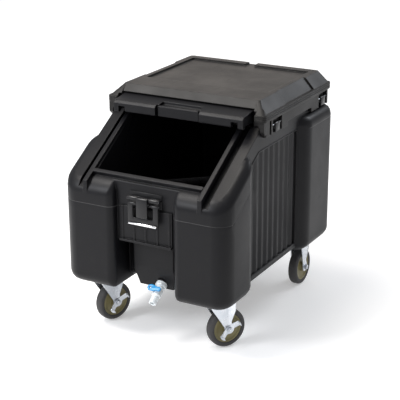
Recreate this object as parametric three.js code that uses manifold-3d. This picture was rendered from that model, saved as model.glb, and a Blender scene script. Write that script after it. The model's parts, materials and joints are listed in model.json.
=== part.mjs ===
// Mobile ice bin: insulated tub on casters with a sliding lid, a clipped-on top and a drain tap.
// Millimetres and degrees, +X right, -Y front, +Z up, origin on the floor under the middle of the tub.
import * as THREE from 'three';
import Module from 'manifold-3d';
import { mergeVertices } from 'three/addons/utils/BufferGeometryUtils.js';

const wasm = await Module();
wasm.setup();

// Clearances and drawing steps
const seatGap = 0.3;
const runGap = 0.4;
const slideGap = 0.6;
const cutOver = 6;
const arcError = 0.45;
const arcShare = 0.2;
const pointGap = 0.01;
const roundSteps = 24;
const raceSteps = 20;
const pinSteps = 12;
const boltSteps = 6;

// Tub
const tubWidth = 584;
const tubDepth = 800;
const casterHeadroom = 38;
const tubHeight = 507;
const slopeAngle = 31;
const slopeDrop = 171;
const recessHalfWidth = 105;
const recessDepth = 32;
const lowerRecessDepth = 96;
const columnProud = 30;
const columnEndRadius = 60;
const columnCornerRadius = 55;
const columnInnerRadius = 24;
const frontColumnLength = 148;
const rearColumnLength = 194;
const rearColumnDrop = 36;
const shoulderRadius = 30;
const footRadius = 34;
const innerShare = 0.4;
const columnRings = 4;
const cornerSteps = 5;
const coreFootRadius = 18;
const undersideRise = 21;
const deckSetback = 40;
const rimRadius = 6;

// Ice well, its sill and the sump over the drain
const wellSideInset = 99;
const wellDraft = 9;
const wellFrontInset = 51;
const wellFrontDraft = 100;
const wellBackInset = 58;
const wellFloorLift = 55;
const wellFloorFall = 8;
const wellBottomRadius = 34;
const wellCornerRadius = 30;
const sillThickness = 13;
const sillRise = 15;
const sumpHalfWidth = 26;
const sumpDepth = 22;
const sumpLength = 72;

// Rails that the lid runs on, and the channels beside them
const railWidth = 15;
const railRise = 12;
const channelWidth = 19;
const channelDepth = 12;
const railRearInset = 150;

// Fluted side panels
const panelDepth = 7;
const fluteRise = 5;
const flutePitch = 39.5;
const fluteSteps = 8;
const panelFrontGap = 6;
const panelRearGap = 8;
const panelFloorGap = 19;
const panelTopDrop = 39;
const panelSlopeDrop = 63;

// Apron under the latch, which carries the drain
const apronSideGap = 28;
const apronFootTaper = 18;
const apronInset = 68;
const apronCreaseLift = 74;
const apronFootInset = 85;
const apronFootLift = 1;
const apronDepth = 70;
const apronChamfer = 7;

// Rib plate in the front recess
const ribPlateSideGap = 13;
const ribPlateDrop = 55;
const ribPlateHeight = 115;
const ribPlateThickness = 5;
const ribCount = 5;
const ribWidth = 9;
const ribRise = 2.5;
const ribPlateLipHeight = 7;
const ribPlateLipReach = 13;

// Latch
const latchHalfWidth = 56;
const latchPlateThickness = 3;
const latchPlateDrop = 4;
const latchPlateHeight = 45;
const latchKnuckleY = 17;
const latchUpperPinDrop = 17;
const latchPinPitch = 17;
const latchPinRadius = 2.5;
const latchUpperKnuckleRadius = 7;
const latchLowerKnuckleRadius = 5;
const latchEarWidth = 5;
const tongueHalfWidth = 19;
const tongueThickness = 5;
const tongueLength = 57;
const leverHalfWidth = 53;
const leverLength = 58;
const leverSheet = 3;
const leverLegWidth = 17;
const leverBarHeight = 14;
const pullBarRadius = 4;
const pullBarHalfLength = 49;
const pullBarReach = 2;

// Cover: lower frame with its skirt, and the top that lies on it
const coverSideInset = 10;
const coverSetback = 264;
const coverBackInset = 26;
const coverCornerRadius = 14;
const topRise = 36;
const flangeLift = 20;
const frameFlangeHeight = 11;
const topFlangeHeight = 11;
const frameSideInset = 8;
const lidSideGap = 3;
const lidBayBackWall = 30;
const pillarSetback = 14;
const pillarDepth = 24;
const skirtGap = 1.6;
const skirtDeepDrop = 52;
const skirtShallowDrop = 37;
const skirtDeepRun = 182;
const footReach = 4;
const footDrop = 44;
const skirtCut = 13;
const slotRun = 52;
const slotWidth = 12;
const pocketRun = 74;
const pocketWidth = 66;
const rearPocketRun = 84;
const rearBlockLength = 58;
const pocketRoof = 6;

const topSlabLift = 8.6;
const topSideRun = 32;
const topBaseInset = 5;
const topFrontRun = 39;
const topBackRun = 13;
const topCornerRadius = 12;
const topFaceSetback = 24;
const topFaceLift = 14;
const topFaceSideInset = 8;
const sideStepRun = 171;
const sideStepBackRun = 131;
const sideInsetFront = 2.5;
const sideInsetMiddle = 7;
const traySideInset = 24;
const trayFrontRun = 144;
const trayBackRun = 48;
const trayDepth = 6;
const rimGapHalfWidth = 17;

// Sliding lid
const lidOverhang = 37;
const lidReach = 44;
const lidLength = 360;
const lidRoofGap = 1;
const lidCrownDrop = 7.6;
const lidLipHeight = 35;
const lidLipDepth = 16;
const lidCrownRun = 68;
const lidEdgeRadius = 5;
const lidBevel = 8;
const lidBevelRadius = 2;
const lidNotchHalf = 12;
const lidNotchRise = 18;
const lidTabDrop = 3;
const gripHalfWidth = 72;
const gripDepth = 42;
const gripDrop = 3;
const gripFloorDrop = 11;
const gripRearDrop = 4;
const gripLip = 11;
const gripSetback = 9;
const gripSlot = 6;
const glideWidth = 30;
const glideHeight = 11;
const glideLength = 60;

// Cover clips
const clipWidth = 30;
const clipPinRadius = 2;
const clipHeadRadius = 6;
const clipPinProud = 8;
const clipPinDrop = 25;
const clipLength = 26;
const clipToe = 4.5;
const clipBarThickness = 5;
const catchWidth = 24;
const catchReach = 5;
const catchLift = 5.4;
const catchHeight = 6.6;
const clipPinBite = 5;

// Drain shelf
const shelfThickness = 6;
const shelfGap = 5;
const shelfEndGap = 12;
const shelfFootHeight = 12;
const shelfFootWidth = 10;
const shelfCornerRadius = 26;
const shelfHoleRadius = 8;
const shelfHoleColumns = 4;
const shelfHoleRows = 4;

// Drain tap
const tapX = 22;
const tapAngle = 36;
const tapSeatLift = 19;
const tapPocketGap = 1;
const tapPocketDepth = 5;
const tapShankWall = 3.5;
const tapShankLength = 58;
const tapWall = 46;
const tapNutWall = 5;
const tapNutThickness = 8;
const tapGasketStep = 1.5;
const tapGasketThickness = 2.4;
const tapCollarStep = 3;
const tapCollarLength = 15;
const tapBodyRadius = 15.5;
const tapBodyLength = 34;
const tapNeckLength = 6;
const tapOutletStep = 3.5;
const tapOutletLength = 22;
const tapBoreRadius = 7.5;
const tapBallWall = 3.5;
const tapBallRun = 19;
const tapStemRadius = 4;
const tapStemRise = 4;
const tapLeverThickness = 6;
const tapLobeReach = 28;
const tapTipReach = 18;
const tapLobeRadius = 10;
const tapTipRadius = 6;
const tapWaistRadius = 6.5;
const tapLeverHoleRadius = 4;

// Casters
const wheelRadius = 63.5;
const tyreHalfWidth = 16;
const tyreThickness = 16.5;
const hubRimInset = 2;
const hubRimThickness = 4;
const hubWebHalf = 4;
const hubBossRadius = 16;
const hubBossGap = 2.5;
const sleeveRadius = 9;
const axleRadius = 5;
const boltHeadRadius = 9;
const boltHeadHeight = 6;
const nutHeight = 8;
const forkSideGap = 3.5;
const forkSheet = 3;
const forkDrop = 13.5;
const forkEyeRadius = 16;
const forkHeadFront = -30;
const forkHeadBack = 55;
const forkHeadDrop = 27;
const forkWaist = 7;
const forkWaistRise = 22.5;
const crownBack = 37;
const rigidHeadHalf = 30;
const swivelInset = 98;
const swivelSideInset = 87;
const rigidSideInset = 71;
const rigidInset = 114;
const trail = 34;
const leftSwivelAngle = -20;
const rightSwivelAngle = -33;
const plateLength = 96;
const plateWidth = 82;
const plateThickness = 4;
const plateCornerRadius = 8;
const raceRadius = 32;
const raceGap = 0.5;
const raceRimGap = 3;
const raceRimSheet = 2.5;
const raceRimHeight = 5.5;
const kingPinRadius = 6;
const kingPinReach = 14.5;
const kingNutRadius = 10;
const brakeSheet = 2.5;
const brakeReach = 41;
const brakeHalfWidth = 9;
const brakeAngle = 34;
const brakeTab = 10;
const brakeEyeRadius = 12;

// Places that follow from the sizes above
const halfWidth = tubWidth / 2;
const front = -tubDepth / 2;
const back = tubDepth / 2;
const panelX = halfWidth - columnProud;
const casterHeight = 2 * wheelRadius + casterHeadroom;
const deckHeight = casterHeight + tubHeight;
const slopeFrontHeight = deckHeight - slopeDrop;
const rearColumnTop = deckHeight - rearColumnDrop;
const wellHalfWidth = halfWidth - wellSideInset;
const wellFloorHeight = casterHeight + wellFloorLift;
const sumpFloorHeight = wellFloorHeight - sumpDepth;
const apronHalfWidth = recessHalfWidth - apronSideGap;
const apronFootHalfWidth = apronHalfWidth - apronFootTaper;
const apronCreaseHeight = casterHeight + apronCreaseLift;
const apronFootHeight = casterHeight + apronFootLift;
const ribPlateHalfWidth = recessHalfWidth - ribPlateSideGap;
const ribPlateTop = slopeFrontHeight - ribPlateDrop;
const ribPlateBottom = ribPlateTop - ribPlateHeight;
const latchPlateTop = slopeFrontHeight - latchPlateDrop;
const latchPlateBottom = latchPlateTop - latchPlateHeight;
const latchUpperPinHeight = latchPlateTop - latchUpperPinDrop;
const latchLowerPinHeight = latchUpperPinHeight - latchPinPitch;
const tongueFoot = latchUpperPinHeight - tongueLength;
const leverFoot = latchLowerPinHeight - leverLength;
const coverHalfWidth = halfWidth - coverSideInset;
const coverFront = front + coverSetback;
const coverBack = back - coverBackInset;
const flangeBottom = deckHeight + flangeLift;
const flangeSplit = flangeBottom + frameFlangeHeight;
const flangeTop = flangeSplit + topFlangeHeight;
const coverHeight = flangeTop + topRise;
const frameHalfWidth = coverHalfWidth - frameSideInset;
const lidHalfWidth = wellHalfWidth + lidOverhang;
const lidBayHalfWidth = lidHalfWidth + lidSideGap;
const lidBayBack = coverBack - lidBayBackWall;
const pillarInner = lidBayHalfWidth + pillarSetback;
const skirtDeepBottom = flangeBottom - skirtDeepDrop;
const skirtShallowBottom = flangeBottom - skirtShallowDrop;
const skirtStep = coverFront + skirtDeepRun;
const footInner = panelX + footReach;
const footBottom = flangeBottom - footDrop;
const slotFront = coverFront + slotRun;
const pocketFront = coverFront + pocketRun;
const rearPocketFront = coverBack - rearPocketRun;
const pocketTop = flangeBottom - pocketRoof;
const topSlabBottom = flangeTop + topSlabLift;
const topBaseHalfWidth = coverHalfWidth - topBaseInset;
const topHalfWidth = topBaseHalfWidth - topSideRun;
const topBaseFront = coverFront + topBaseInset;
const topFront = topBaseFront + topFrontRun;
const topBaseBack = coverBack - topBaseInset;
const topBack = topBaseBack - topBackRun;
const topFaceFoot = coverFront + topFaceSetback;
const topFaceFootHeight = flangeTop + topFaceLift;
const topFaceHalfWidth = topHalfWidth - topFaceSideInset;
const sideStepFront = coverFront + sideStepRun;
const sideStepBack = coverBack - sideStepBackRun;
const trayHalfWidth = topHalfWidth - traySideInset;
const trayFront = coverFront + trayFrontRun;
const trayBack = coverBack - trayBackRun;
const lidFront = coverFront - lidReach;
const lidTop = topSlabBottom - lidRoofGap;
const lidFrontTop = lidTop - lidCrownDrop;
const lidLipBottom = lidFrontTop - lidLipHeight;
const lidNotchTop = lidLipBottom + lidNotchRise;
const gripFloor = lidFrontTop - gripFloorDrop;
const clipPinX = panelX + clipPinProud;
const clipPinHeight = flangeBottom - clipPinDrop;
const clipFoot = clipPinHeight - clipLength;
const catchBottom = clipFoot + catchLift;
const catchTop = catchBottom + catchHeight;
const tapSeatHeight = casterHeight + tapSeatLift;
const tapShankRadius = tapBoreRadius + tapShankWall;
const tapNutRadius = tapShankRadius + tapNutWall;
const tapBallRadius = tapBoreRadius + tapBallWall;
const tapCollarRadius = tapBodyRadius + tapCollarStep;
const tapGasketRadius = tapCollarRadius + tapGasketStep;
const tapPocketRadius = tapGasketRadius + tapPocketGap;
const tapOutletRadius = tapBodyRadius - tapOutletStep;
const tapLeverHeight = tapBodyRadius + tapStemRise;
const hubRadius = wheelRadius - tyreThickness;
const hubRimHalfWidth = tyreHalfWidth - hubRimInset;
const forkInner = tyreHalfWidth + forkSideGap;
const hubBossHalf = forkInner - hubBossGap;
const forkTop = casterHeight - forkDrop;
const forkWaistHeight = wheelRadius + forkWaistRise;
const raceBottom = forkTop + raceGap;
const raceRimRadius = raceRadius + raceRimGap;
const raceRimTop = forkTop + raceRimHeight;
const kingPinFoot = forkTop - kingPinReach;
const swivelY = front + swivelInset;
const swivelX = halfWidth - swivelSideInset;
const rigidX = halfWidth - rigidSideInset;
const rigidY = back - rigidInset;
const underside = casterHeight + undersideRise;
const slopeTangent = Math.tan(THREE.MathUtils.degToRad(slopeAngle));
const slopeCosine = Math.cos(THREE.MathUtils.degToRad(slopeAngle));
const slopeSine = Math.sin(THREE.MathUtils.degToRad(slopeAngle));
const slopeHeight = (y) => slopeFrontHeight + (y - front) * slopeTangent;
const slopeEnd = front + (deckHeight - slopeFrontHeight) / slopeTangent;
const recessWall = front + recessDepth;
const deckBack = back - deckSetback;
const endTurn = Math.acos(1 - columnProud / columnEndRadius);
const endRun = columnEndRadius * Math.sin(endTurn);
const frontColumnEnd = front + frontColumnLength;
const rearColumnEnd = back - rearColumnLength;
const wellFront = front + wellFrontInset;
const wellBack = back - wellBackInset;
const railTop = deckHeight + railRise;
const lidBottom = railTop + seatGap;
const lidBack = lidFront + lidLength;

const materials = {
  shell: new THREE.MeshStandardMaterial({ color: 0x2b2b2f, roughness: 0.62, metalness: 0 }),
  cover: new THREE.MeshStandardMaterial({ color: 0x34322f, roughness: 0.6, metalness: 0 }),
  nylon: new THREE.MeshStandardMaterial({ color: 0x1c1c1e, roughness: 0.45, metalness: 0 }),
  zinc: new THREE.MeshStandardMaterial({ color: 0xb9bec4, roughness: 0.3, metalness: 1 }),
  chrome: new THREE.MeshStandardMaterial({ color: 0xd8dadd, roughness: 0.12, metalness: 1 }),
  rubber: new THREE.MeshStandardMaterial({ color: 0x3a393b, roughness: 0.7, metalness: 0 }),
  hub: new THREE.MeshStandardMaterial({ color: 0x7a7048, roughness: 0.5, metalness: 0 }),
  tap: new THREE.MeshStandardMaterial({ color: 0xe9ecec, roughness: 0.35, metalness: 0 }),
  tapLever: new THREE.MeshStandardMaterial({ color: 0x1492e6, roughness: 0.4, metalness: 0 }),
  gasket: new THREE.MeshStandardMaterial({ color: 0x18181a, roughness: 0.8, metalness: 0 }),
};

// A closed outline from corners [x, y, radius]; a corner with no radius stays sharp.
const outline = (corners) => {
  const points = corners.flatMap(([x, y, radius = 0], index) => {
    const here = new THREE.Vector2(x, y);
    if (radius === 0) return [here];
    const [beforeX, beforeY] = corners[(index + corners.length - 1) % corners.length];
    const [afterX, afterY] = corners[(index + 1) % corners.length];
    const toBefore = new THREE.Vector2(beforeX, beforeY).sub(here).normalize();
    const toAfter = new THREE.Vector2(afterX, afterY).sub(here).normalize();
    const halfAngle = Math.acos(THREE.MathUtils.clamp(toBefore.dot(toAfter), -1, 1)) / 2;
    const inward = toBefore.clone().add(toAfter).normalize();
    const centre = here.clone().addScaledVector(inward, radius / Math.sin(halfAngle));
    const start = here.clone().addScaledVector(toBefore, radius / Math.tan(halfAngle));
    const turn = Math.sign(toAfter.cross(toBefore)) * (Math.PI - 2 * halfAngle);
    const finest = 2 * Math.acos(1 - Math.min(arcError / radius, arcShare));
    const steps = Math.max(1, Math.ceil(Math.abs(turn) / finest));
    return Array.from({ length: steps + 1 },
      (_, step) => start.clone().rotateAround(centre, turn * step / steps));
  });
  return new THREE.Shape(points.filter((point, index) => (
    point.distanceTo(points[(index + points.length - 1) % points.length]) > pointGap)));
};

const rectangle = (left, bottom, right, top, radius = 0) => outline([
  [left, bottom, radius], [right, bottom, radius], [right, top, radius], [left, top, radius]]);

// Prisms of an outline along each axis. alongX takes (y, z) outlines and alongY takes (x, z) ones.
const extrude = (shape, depth) => new THREE.ExtrudeGeometry(shape, {
  depth, bevelEnabled: false });
const alongZ = (shape, low, high) => extrude(shape, high - low).translate(0, 0, low);
const yzAxes = new THREE.Matrix4().makeBasis(
  new THREE.Vector3(0, 1, 0), new THREE.Vector3(0, 0, 1), new THREE.Vector3(1, 0, 0));
const alongX = (shape, low, high) => extrude(shape, high - low).applyMatrix4(yzAxes).translate(low, 0, 0);
const alongY = (shape, low, high) => extrude(shape, high - low).rotateX(Math.PI / 2).translate(0, high, 0);

// Turned forms: a closed profile of [radius, height] corners, round the Z axis.
const turned = (profile, steps) => new THREE.LatheGeometry(
  [...profile, profile[0]].map(([radius, height]) => new THREE.Vector2(radius, height)), steps)
  .rotateX(Math.PI / 2);
const rod = (radius, low, high, steps) => turned([[0, low], [radius, low], [radius, high], [0, high]], steps);
const rodAlongX = (radius, low, high, steps, y, z) => rod(radius, low, high, steps)
  .rotateY(Math.PI / 2).translate(0, y, z);
const rodAlongY = (radius, low, high, steps, x, z) => rod(radius, low, high, steps)
  .rotateX(-Math.PI / 2).translate(x, 0, z);

// A geometry as a solid that can be joined and cut, and back again.
const solid = (geometry) => {
  const bare = geometry.clone();
  bare.deleteAttribute('normal');
  bare.deleteAttribute('uv');
  const merged = mergeVertices(bare);
  return new wasm.Manifold(new wasm.Mesh({
    numProp: 3,
    vertProperties: new Float32Array(merged.getAttribute('position').array),
    triVerts: new Uint32Array(merged.getIndex().array),
  }));
};
const join = (...geometries) => geometries.map(solid).reduce((sum, next) => sum.add(next));
const geometryOf = (manifold) => {
  const { vertProperties, triVerts } = manifold.getMesh();
  const geometry = new THREE.BufferGeometry();
  geometry.setAttribute('position', new THREE.BufferAttribute(vertProperties, 3));
  geometry.setIndex(new THREE.BufferAttribute(triVerts, 1));
  geometry.computeVertexNormals();
  return geometry;
};

const hexNut = (radius, bore, low, high) => geometryOf(solid(rod(radius, low, high, boltSteps))
  .subtract(solid(rod(bore, low - cutOver, high + cutOver, pinSteps))));

const group = new THREE.Group();
const place = (parent, name, shape, material) => {
  const mesh = new THREE.Mesh(shape.isBufferGeometry ? shape : geometryOf(shape), material);
  mesh.name = name;
  parent.add(mesh);
  return mesh;
};
const sides = [['left', -1], ['right', 1]];

// A point on the front slope: run up the slope from the front face, rise square to it.
const onSlope = (run, rise) => [
  front + run * slopeCosine - rise * slopeSine,
  slopeFrontHeight + run * slopeSine + rise * slopeCosine];

// A closed skin over rings of as many points each, flat at both ends.
const skin = (rings) => {
  const count = rings[0].length;
  const last = (rings.length - 1) * count;
  const index = [];
  for (let low = 0; low < last; low += count) {
    for (let i = 0; i < count; i += 1) {
      const next = (i + 1) % count;
      const high = low + count;
      index.push(low + i, low + next, high + next, low + i, high + next, high + i);
    }
  }
  for (let i = 1; i < count - 1; i += 1) index.push(0, i + 1, i, last, last + i, last + i + 1);
  const geometry = new THREE.BufferGeometry();
  geometry.setAttribute('position', new THREE.Float32BufferAttribute(rings.flat(2), 3));
  geometry.setIndex(index);
  return geometry;
};

// Column at a corner of the tub: rounded in plan, at its foot and at its top.
const column = (side, outerY, inward, length, topAt) => {
  const ring = (inset, heightAt) => {
    const near = recessHalfWidth + inset * innerShare;
    const far = halfWidth - inset;
    const high = length + columnEndRadius - inset;
    const corners = [
      [near, inset, columnInnerRadius, 1, 1], [far, inset, columnCornerRadius, -1, 1],
      [far, high, columnEndRadius, -1, -1], [near, high, columnInnerRadius, 1, -1]];
    const points = corners.flatMap(([u, v, fullRadius, toU, toV], corner) => {
      const radius = Math.max(fullRadius - inset, columnInnerRadius * innerShare);
      return Array.from({ length: cornerSteps + 1 }, (_, step) => {
        const angle = Math.PI * (2 + corner + step / cornerSteps) / 2;
        const y = outerY + inward * (v + radius * (toV + Math.sin(angle)));
        return [side * (u + radius * (toU + Math.cos(angle))), y, heightAt(y)];
      });
    });
    return side * inward > 0 ? points : points.reverse();
  };
  const rings = [];
  for (let step = 0; step <= columnRings; step += 1) {
    const angle = Math.PI * step / columnRings / 2;
    rings.push(ring(footRadius * (1 - Math.sin(angle)),
      () => casterHeight + footRadius * (1 - Math.cos(angle))));
  }
  for (let step = 0; step <= columnRings; step += 1) {
    const angle = Math.PI * step / columnRings / 2;
    const drop = shoulderRadius * (1 - Math.sin(angle));
    rings.push(ring(shoulderRadius * (1 - Math.cos(angle)), (y) => topAt(y) - drop));
  }
  return solid(skin(rings));
};
const frontColumn = (side) => column(side, front, 1, frontColumnLength, slopeHeight);
const rearColumn = (side) => column(side, back, -1, rearColumnLength, () => rearColumnTop);

// Middle of the tub between the columns: slope, deck, shoulder at the back, wall over the apron.
const tubCore = () => alongX(outline([
  [recessWall, slopeHeight(recessWall), rimRadius],
  [slopeEnd, deckHeight, rimRadius],
  [deckBack, deckHeight, rimRadius],
  [deckBack, rearColumnTop],
  [back - columnProud, rearColumnTop, rimRadius],
  [back - columnProud, underside, coreFootRadius],
  [front + lowerRecessDepth, underside, coreFootRadius],
  [front + lowerRecessDepth, ribPlateBottom],
  [recessWall, ribPlateBottom]]), -panelX, panelX);

const apronFace = front + apronInset;
const apronFoot = front + apronFootInset;
const apron = () => solid(alongX(outline([
  [apronFace, ribPlateBottom],
  [apronFace, apronCreaseHeight],
  [apronFoot, apronFootHeight, rimRadius],
  [apronFoot + apronDepth, apronFootHeight],
  [apronFoot + apronDepth, ribPlateBottom]]), -apronHalfWidth, apronHalfWidth))
  .intersect(solid(alongY(outline([
    [-apronFootHalfWidth, apronFootHeight],
    [apronFootHalfWidth, apronFootHeight],
    [apronHalfWidth, apronCreaseHeight],
    [apronHalfWidth, ribPlateBottom],
    [-apronHalfWidth, ribPlateBottom],
    [-apronHalfWidth, apronCreaseHeight]]), apronFace - cutOver, apronFoot + apronDepth + cutOver)))
  .intersect(solid(alongZ(outline([
    [-apronHalfWidth + apronChamfer, apronFace],
    [apronHalfWidth - apronChamfer, apronFace],
    [apronHalfWidth, apronFace + apronChamfer],
    [apronHalfWidth, apronFoot + apronDepth],
    [-apronHalfWidth, apronFoot + apronDepth],
    [-apronHalfWidth, apronFace + apronChamfer]]), apronFootHeight, ribPlateBottom)));

// Ice well, open through the deck and the slope, narrowing a little to its rounded floor.
const wellFloorRise = wellFloorHeight + wellFloorFall;
const wellFloorAt = (y) => wellFloorRise
  - wellFloorFall * (wellBack - wellDraft - y) / (wellBack - wellDraft - wellFront - wellFrontDraft);
const iceWell = () => {
  const open = deckHeight + railRise + sillRise;
  const lengthwise = outline([
    [wellFront, open],
    [wellFront, slopeHeight(wellFront)],
    [wellFront + wellFrontDraft, wellFloorHeight, wellBottomRadius],
    [wellBack - wellDraft, wellFloorRise, wellBottomRadius],
    [wellBack, open]]);
  const across = outline([
    [-wellHalfWidth, open],
    [-wellHalfWidth + wellDraft, wellFloorHeight, wellBottomRadius],
    [wellHalfWidth - wellDraft, wellFloorHeight, wellBottomRadius],
    [wellHalfWidth, open]]);
  const plan = outline([
    [-wellHalfWidth, wellFront],
    [wellHalfWidth, wellFront],
    [wellHalfWidth, wellBack, wellCornerRadius],
    [-wellHalfWidth, wellBack, wellCornerRadius]]);
  return solid(alongX(lengthwise, -wellHalfWidth, wellHalfWidth))
    .intersect(solid(alongY(across, wellFront - cutOver, wellBack + cutOver)))
    .intersect(solid(alongZ(plan, wellFloorHeight, open)));
};

// Drain axis: a seat on the apron, pointing forward and down.
const tapDown = THREE.MathUtils.degToRad(tapAngle);
const apronFaceAt = (z) => apronFace
  + (apronCreaseHeight - z) * (apronFoot - apronFace) / (apronCreaseHeight - apronFootHeight);
const tapOrigin = new THREE.Vector3(tapX, apronFaceAt(tapSeatHeight), tapSeatHeight);
const tapDirection = new THREE.Vector3(0, -Math.cos(tapDown), -Math.sin(tapDown));
const tapSeat = tapOrigin.clone().addScaledVector(tapDirection, -tapPocketDepth);
const tapTurn = new THREE.Quaternion().setFromUnitVectors(new THREE.Vector3(0, 0, 1), tapDirection);
const atTap = (geometry) => geometry.applyQuaternion(tapTurn).translate(tapSeat.x, tapSeat.y, tapSeat.z);
const sump = () => {
  const inner = tapSeat.clone().addScaledVector(tapDirection, -tapWall);
  const rise = (z) => inner.y - (z - inner.z) * Math.tan(tapDown);
  const top = wellFloorHeight + wellBottomRadius;
  return alongX(outline([
    [rise(sumpFloorHeight), sumpFloorHeight],
    [rise(sumpFloorHeight) + sumpLength, sumpFloorHeight],
    [rise(sumpFloorHeight) + sumpLength, top],
    [rise(top), top]]), tapX - sumpHalfWidth, tapX + sumpHalfWidth);
};

// Rail that carries the lid: a ridge down the slope and back along the deck.
const railBend = front + (deckHeight + railRise - slopeFrontHeight - railRise / slopeCosine) / slopeTangent;
const rail = (side) => {
  const inner = side * wellHalfWidth;
  const outer = side * (wellHalfWidth + railWidth);
  const rear = wellBack - railRearInset;
  return alongX(outline([
    [front, slopeFrontHeight - shoulderRadius],
    [front, slopeFrontHeight + railRise / slopeCosine],
    [railBend, railTop],
    [rear, railTop],
    [rear, deckHeight - channelDepth],
    [slopeEnd, deckHeight - channelDepth],
    [recessWall, slopeFrontHeight - shoulderRadius]]), Math.min(inner, outer), Math.max(inner, outer));
};
const channel = (side) => {
  const inner = side * (wellHalfWidth + railWidth);
  const outer = side * (wellHalfWidth + railWidth + channelWidth);
  const topRun = (slopeEnd - front) / slopeCosine;
  return alongX(outline([
    onSlope(-shoulderRadius, -channelDepth),
    onSlope(topRun, -channelDepth),
    onSlope(topRun, railRise),
    onSlope(-shoulderRadius, railRise)]), Math.min(inner, outer), Math.max(inner, outer));
};

// Sill along the lower edge of the mouth.
const sill = () => {
  const mouth = (wellFront - front) / slopeCosine;
  return alongX(outline([
    onSlope(mouth - sillThickness, -sillThickness),
    onSlope(mouth - sillThickness, sillRise),
    onSlope(mouth, sillRise),
    [wellFront, slopeHeight(wellFront) - sillThickness]]), -wellHalfWidth, wellHalfWidth);
};

// Sunk side panel with upright flutes, cut by a wavy prism inside a slant-topped frame.
const sidePanel = (side) => {
  const frontEdge = frontColumnEnd + endRun + panelFrontGap;
  const rearEdge = rearColumnEnd - endRun - panelRearGap;
  const top = rearColumnTop - panelTopDrop;
  const slantTop = front + (top + panelSlopeDrop - slopeFrontHeight) / slopeTangent;
  const frame = outline([
    [frontEdge, underside + panelFloorGap],
    [rearEdge, underside + panelFloorGap],
    [rearEdge, top],
    [slantTop, top],
    [frontEdge, slopeHeight(frontEdge) - panelSlopeDrop]]);
  const span = rearEdge - frontEdge;
  const steps = Math.round(span / flutePitch) * fluteSteps;
  const wave = [];
  for (let step = 0; step <= steps; step += 1) {
    const turn = 2 * Math.PI * step / fluteSteps;
    const depth = panelDepth - fluteRise * (1 - Math.cos(turn)) / 2;
    wave.push([side * (panelX - depth), frontEdge + span * step / steps]);
  }
  const outside = side * (panelX + cutOver);
  const corrugated = outline([...wave, [outside, rearEdge], [outside, frontEdge]]);
  const low = side > 0 ? panelX - panelDepth - cutOver : -panelX - cutOver;
  return solid(alongZ(corrugated, underside, deckHeight))
    .intersect(solid(alongX(frame, low, low + panelDepth + 2 * cutOver)));
};

// Catch under each clip, moulded on the tub wall.
const clipPlaces = [['front', pocketFront + pocketWidth / 2], ['rear', rearPocketFront + pocketWidth / 2]];
const clipCatch = (side, y) => alongY(outline([
  [side * (panelX - catchReach), catchBottom],
  [side * (panelX + catchReach), catchBottom],
  [side * (panelX + catchReach), catchBottom + catchReach / 2],
  [side * (panelX - catchReach), catchTop + catchReach]]), y - catchWidth / 2, y + catchWidth / 2);

const makeTub = () => {
  let tub = solid(tubCore()).add(apron());
  for (const [, side] of sides) tub = tub.add(frontColumn(side)).add(rearColumn(side));
  tub = tub.subtract(iceWell()).subtract(solid(sump()));
  for (const [, side] of sides) {
    tub = tub.subtract(solid(channel(side))).add(solid(rail(side))).subtract(sidePanel(side));
    for (const [, y] of clipPlaces) tub = tub.add(solid(clipCatch(side, y)));
  }
  return tub.add(solid(sill()))
    .subtract(solid(atTap(rod(tapPocketRadius, 0, tapPocketDepth + columnProud, roundSteps))))
    .subtract(solid(atTap(rod(tapShankRadius + runGap, -tapWall - cutOver, cutOver, pinSteps))));
};
place(group, 'tub', makeTub(), materials.shell);

// Perforated shelf that keeps the ice above the melt water.
const makeDrainShelf = () => {
  const height = wellFloorRise + shelfFootHeight;
  const fall = (height - wellFloorHeight) / (slopeHeight(wellFront) - wellFloorHeight);
  const low = wellFront + wellFrontDraft * (1 - fall) + shelfEndGap;
  const high = wellBack - wellDraft - shelfEndGap;
  const half = wellHalfWidth - wellDraft - shelfGap;
  const plate = rectangle(-half, low, half, high, shelfCornerRadius);
  const pitchX = 2 * half / (shelfHoleColumns + 1);
  const pitchY = (high - low) / (shelfHoleRows + 1);
  for (let column = 1; column <= shelfHoleColumns; column += 1) {
    for (let row = 1; row <= shelfHoleRows; row += 1) {
      const x = -half + column * pitchX;
      const y = low + row * pitchY;
      plate.holes.push(rectangle(x - shelfHoleRadius, y - shelfHoleRadius,
        x + shelfHoleRadius, y + shelfHoleRadius, shelfHoleRadius));
    }
  }
  const footLow = low + shelfCornerRadius + wellBottomRadius;
  const footHigh = high - shelfCornerRadius - wellBottomRadius;
  let shelf = solid(alongZ(plate, height, height + shelfThickness));
  for (const [, side] of sides) {
    const x = side * (half - pitchX / 2);
    const foot = outline([
      [footLow, height + shelfThickness], [footLow, wellFloorAt(footLow) + seatGap],
      [footHigh, wellFloorAt(footHigh) + seatGap], [footHigh, height + shelfThickness]]);
    shelf = shelf.add(solid(alongX(foot, x - shelfFootWidth / 2, x + shelfFootWidth / 2)));
  }
  return shelf;
};
place(group, 'drain_shelf', makeDrainShelf(), materials.nylon);

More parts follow.
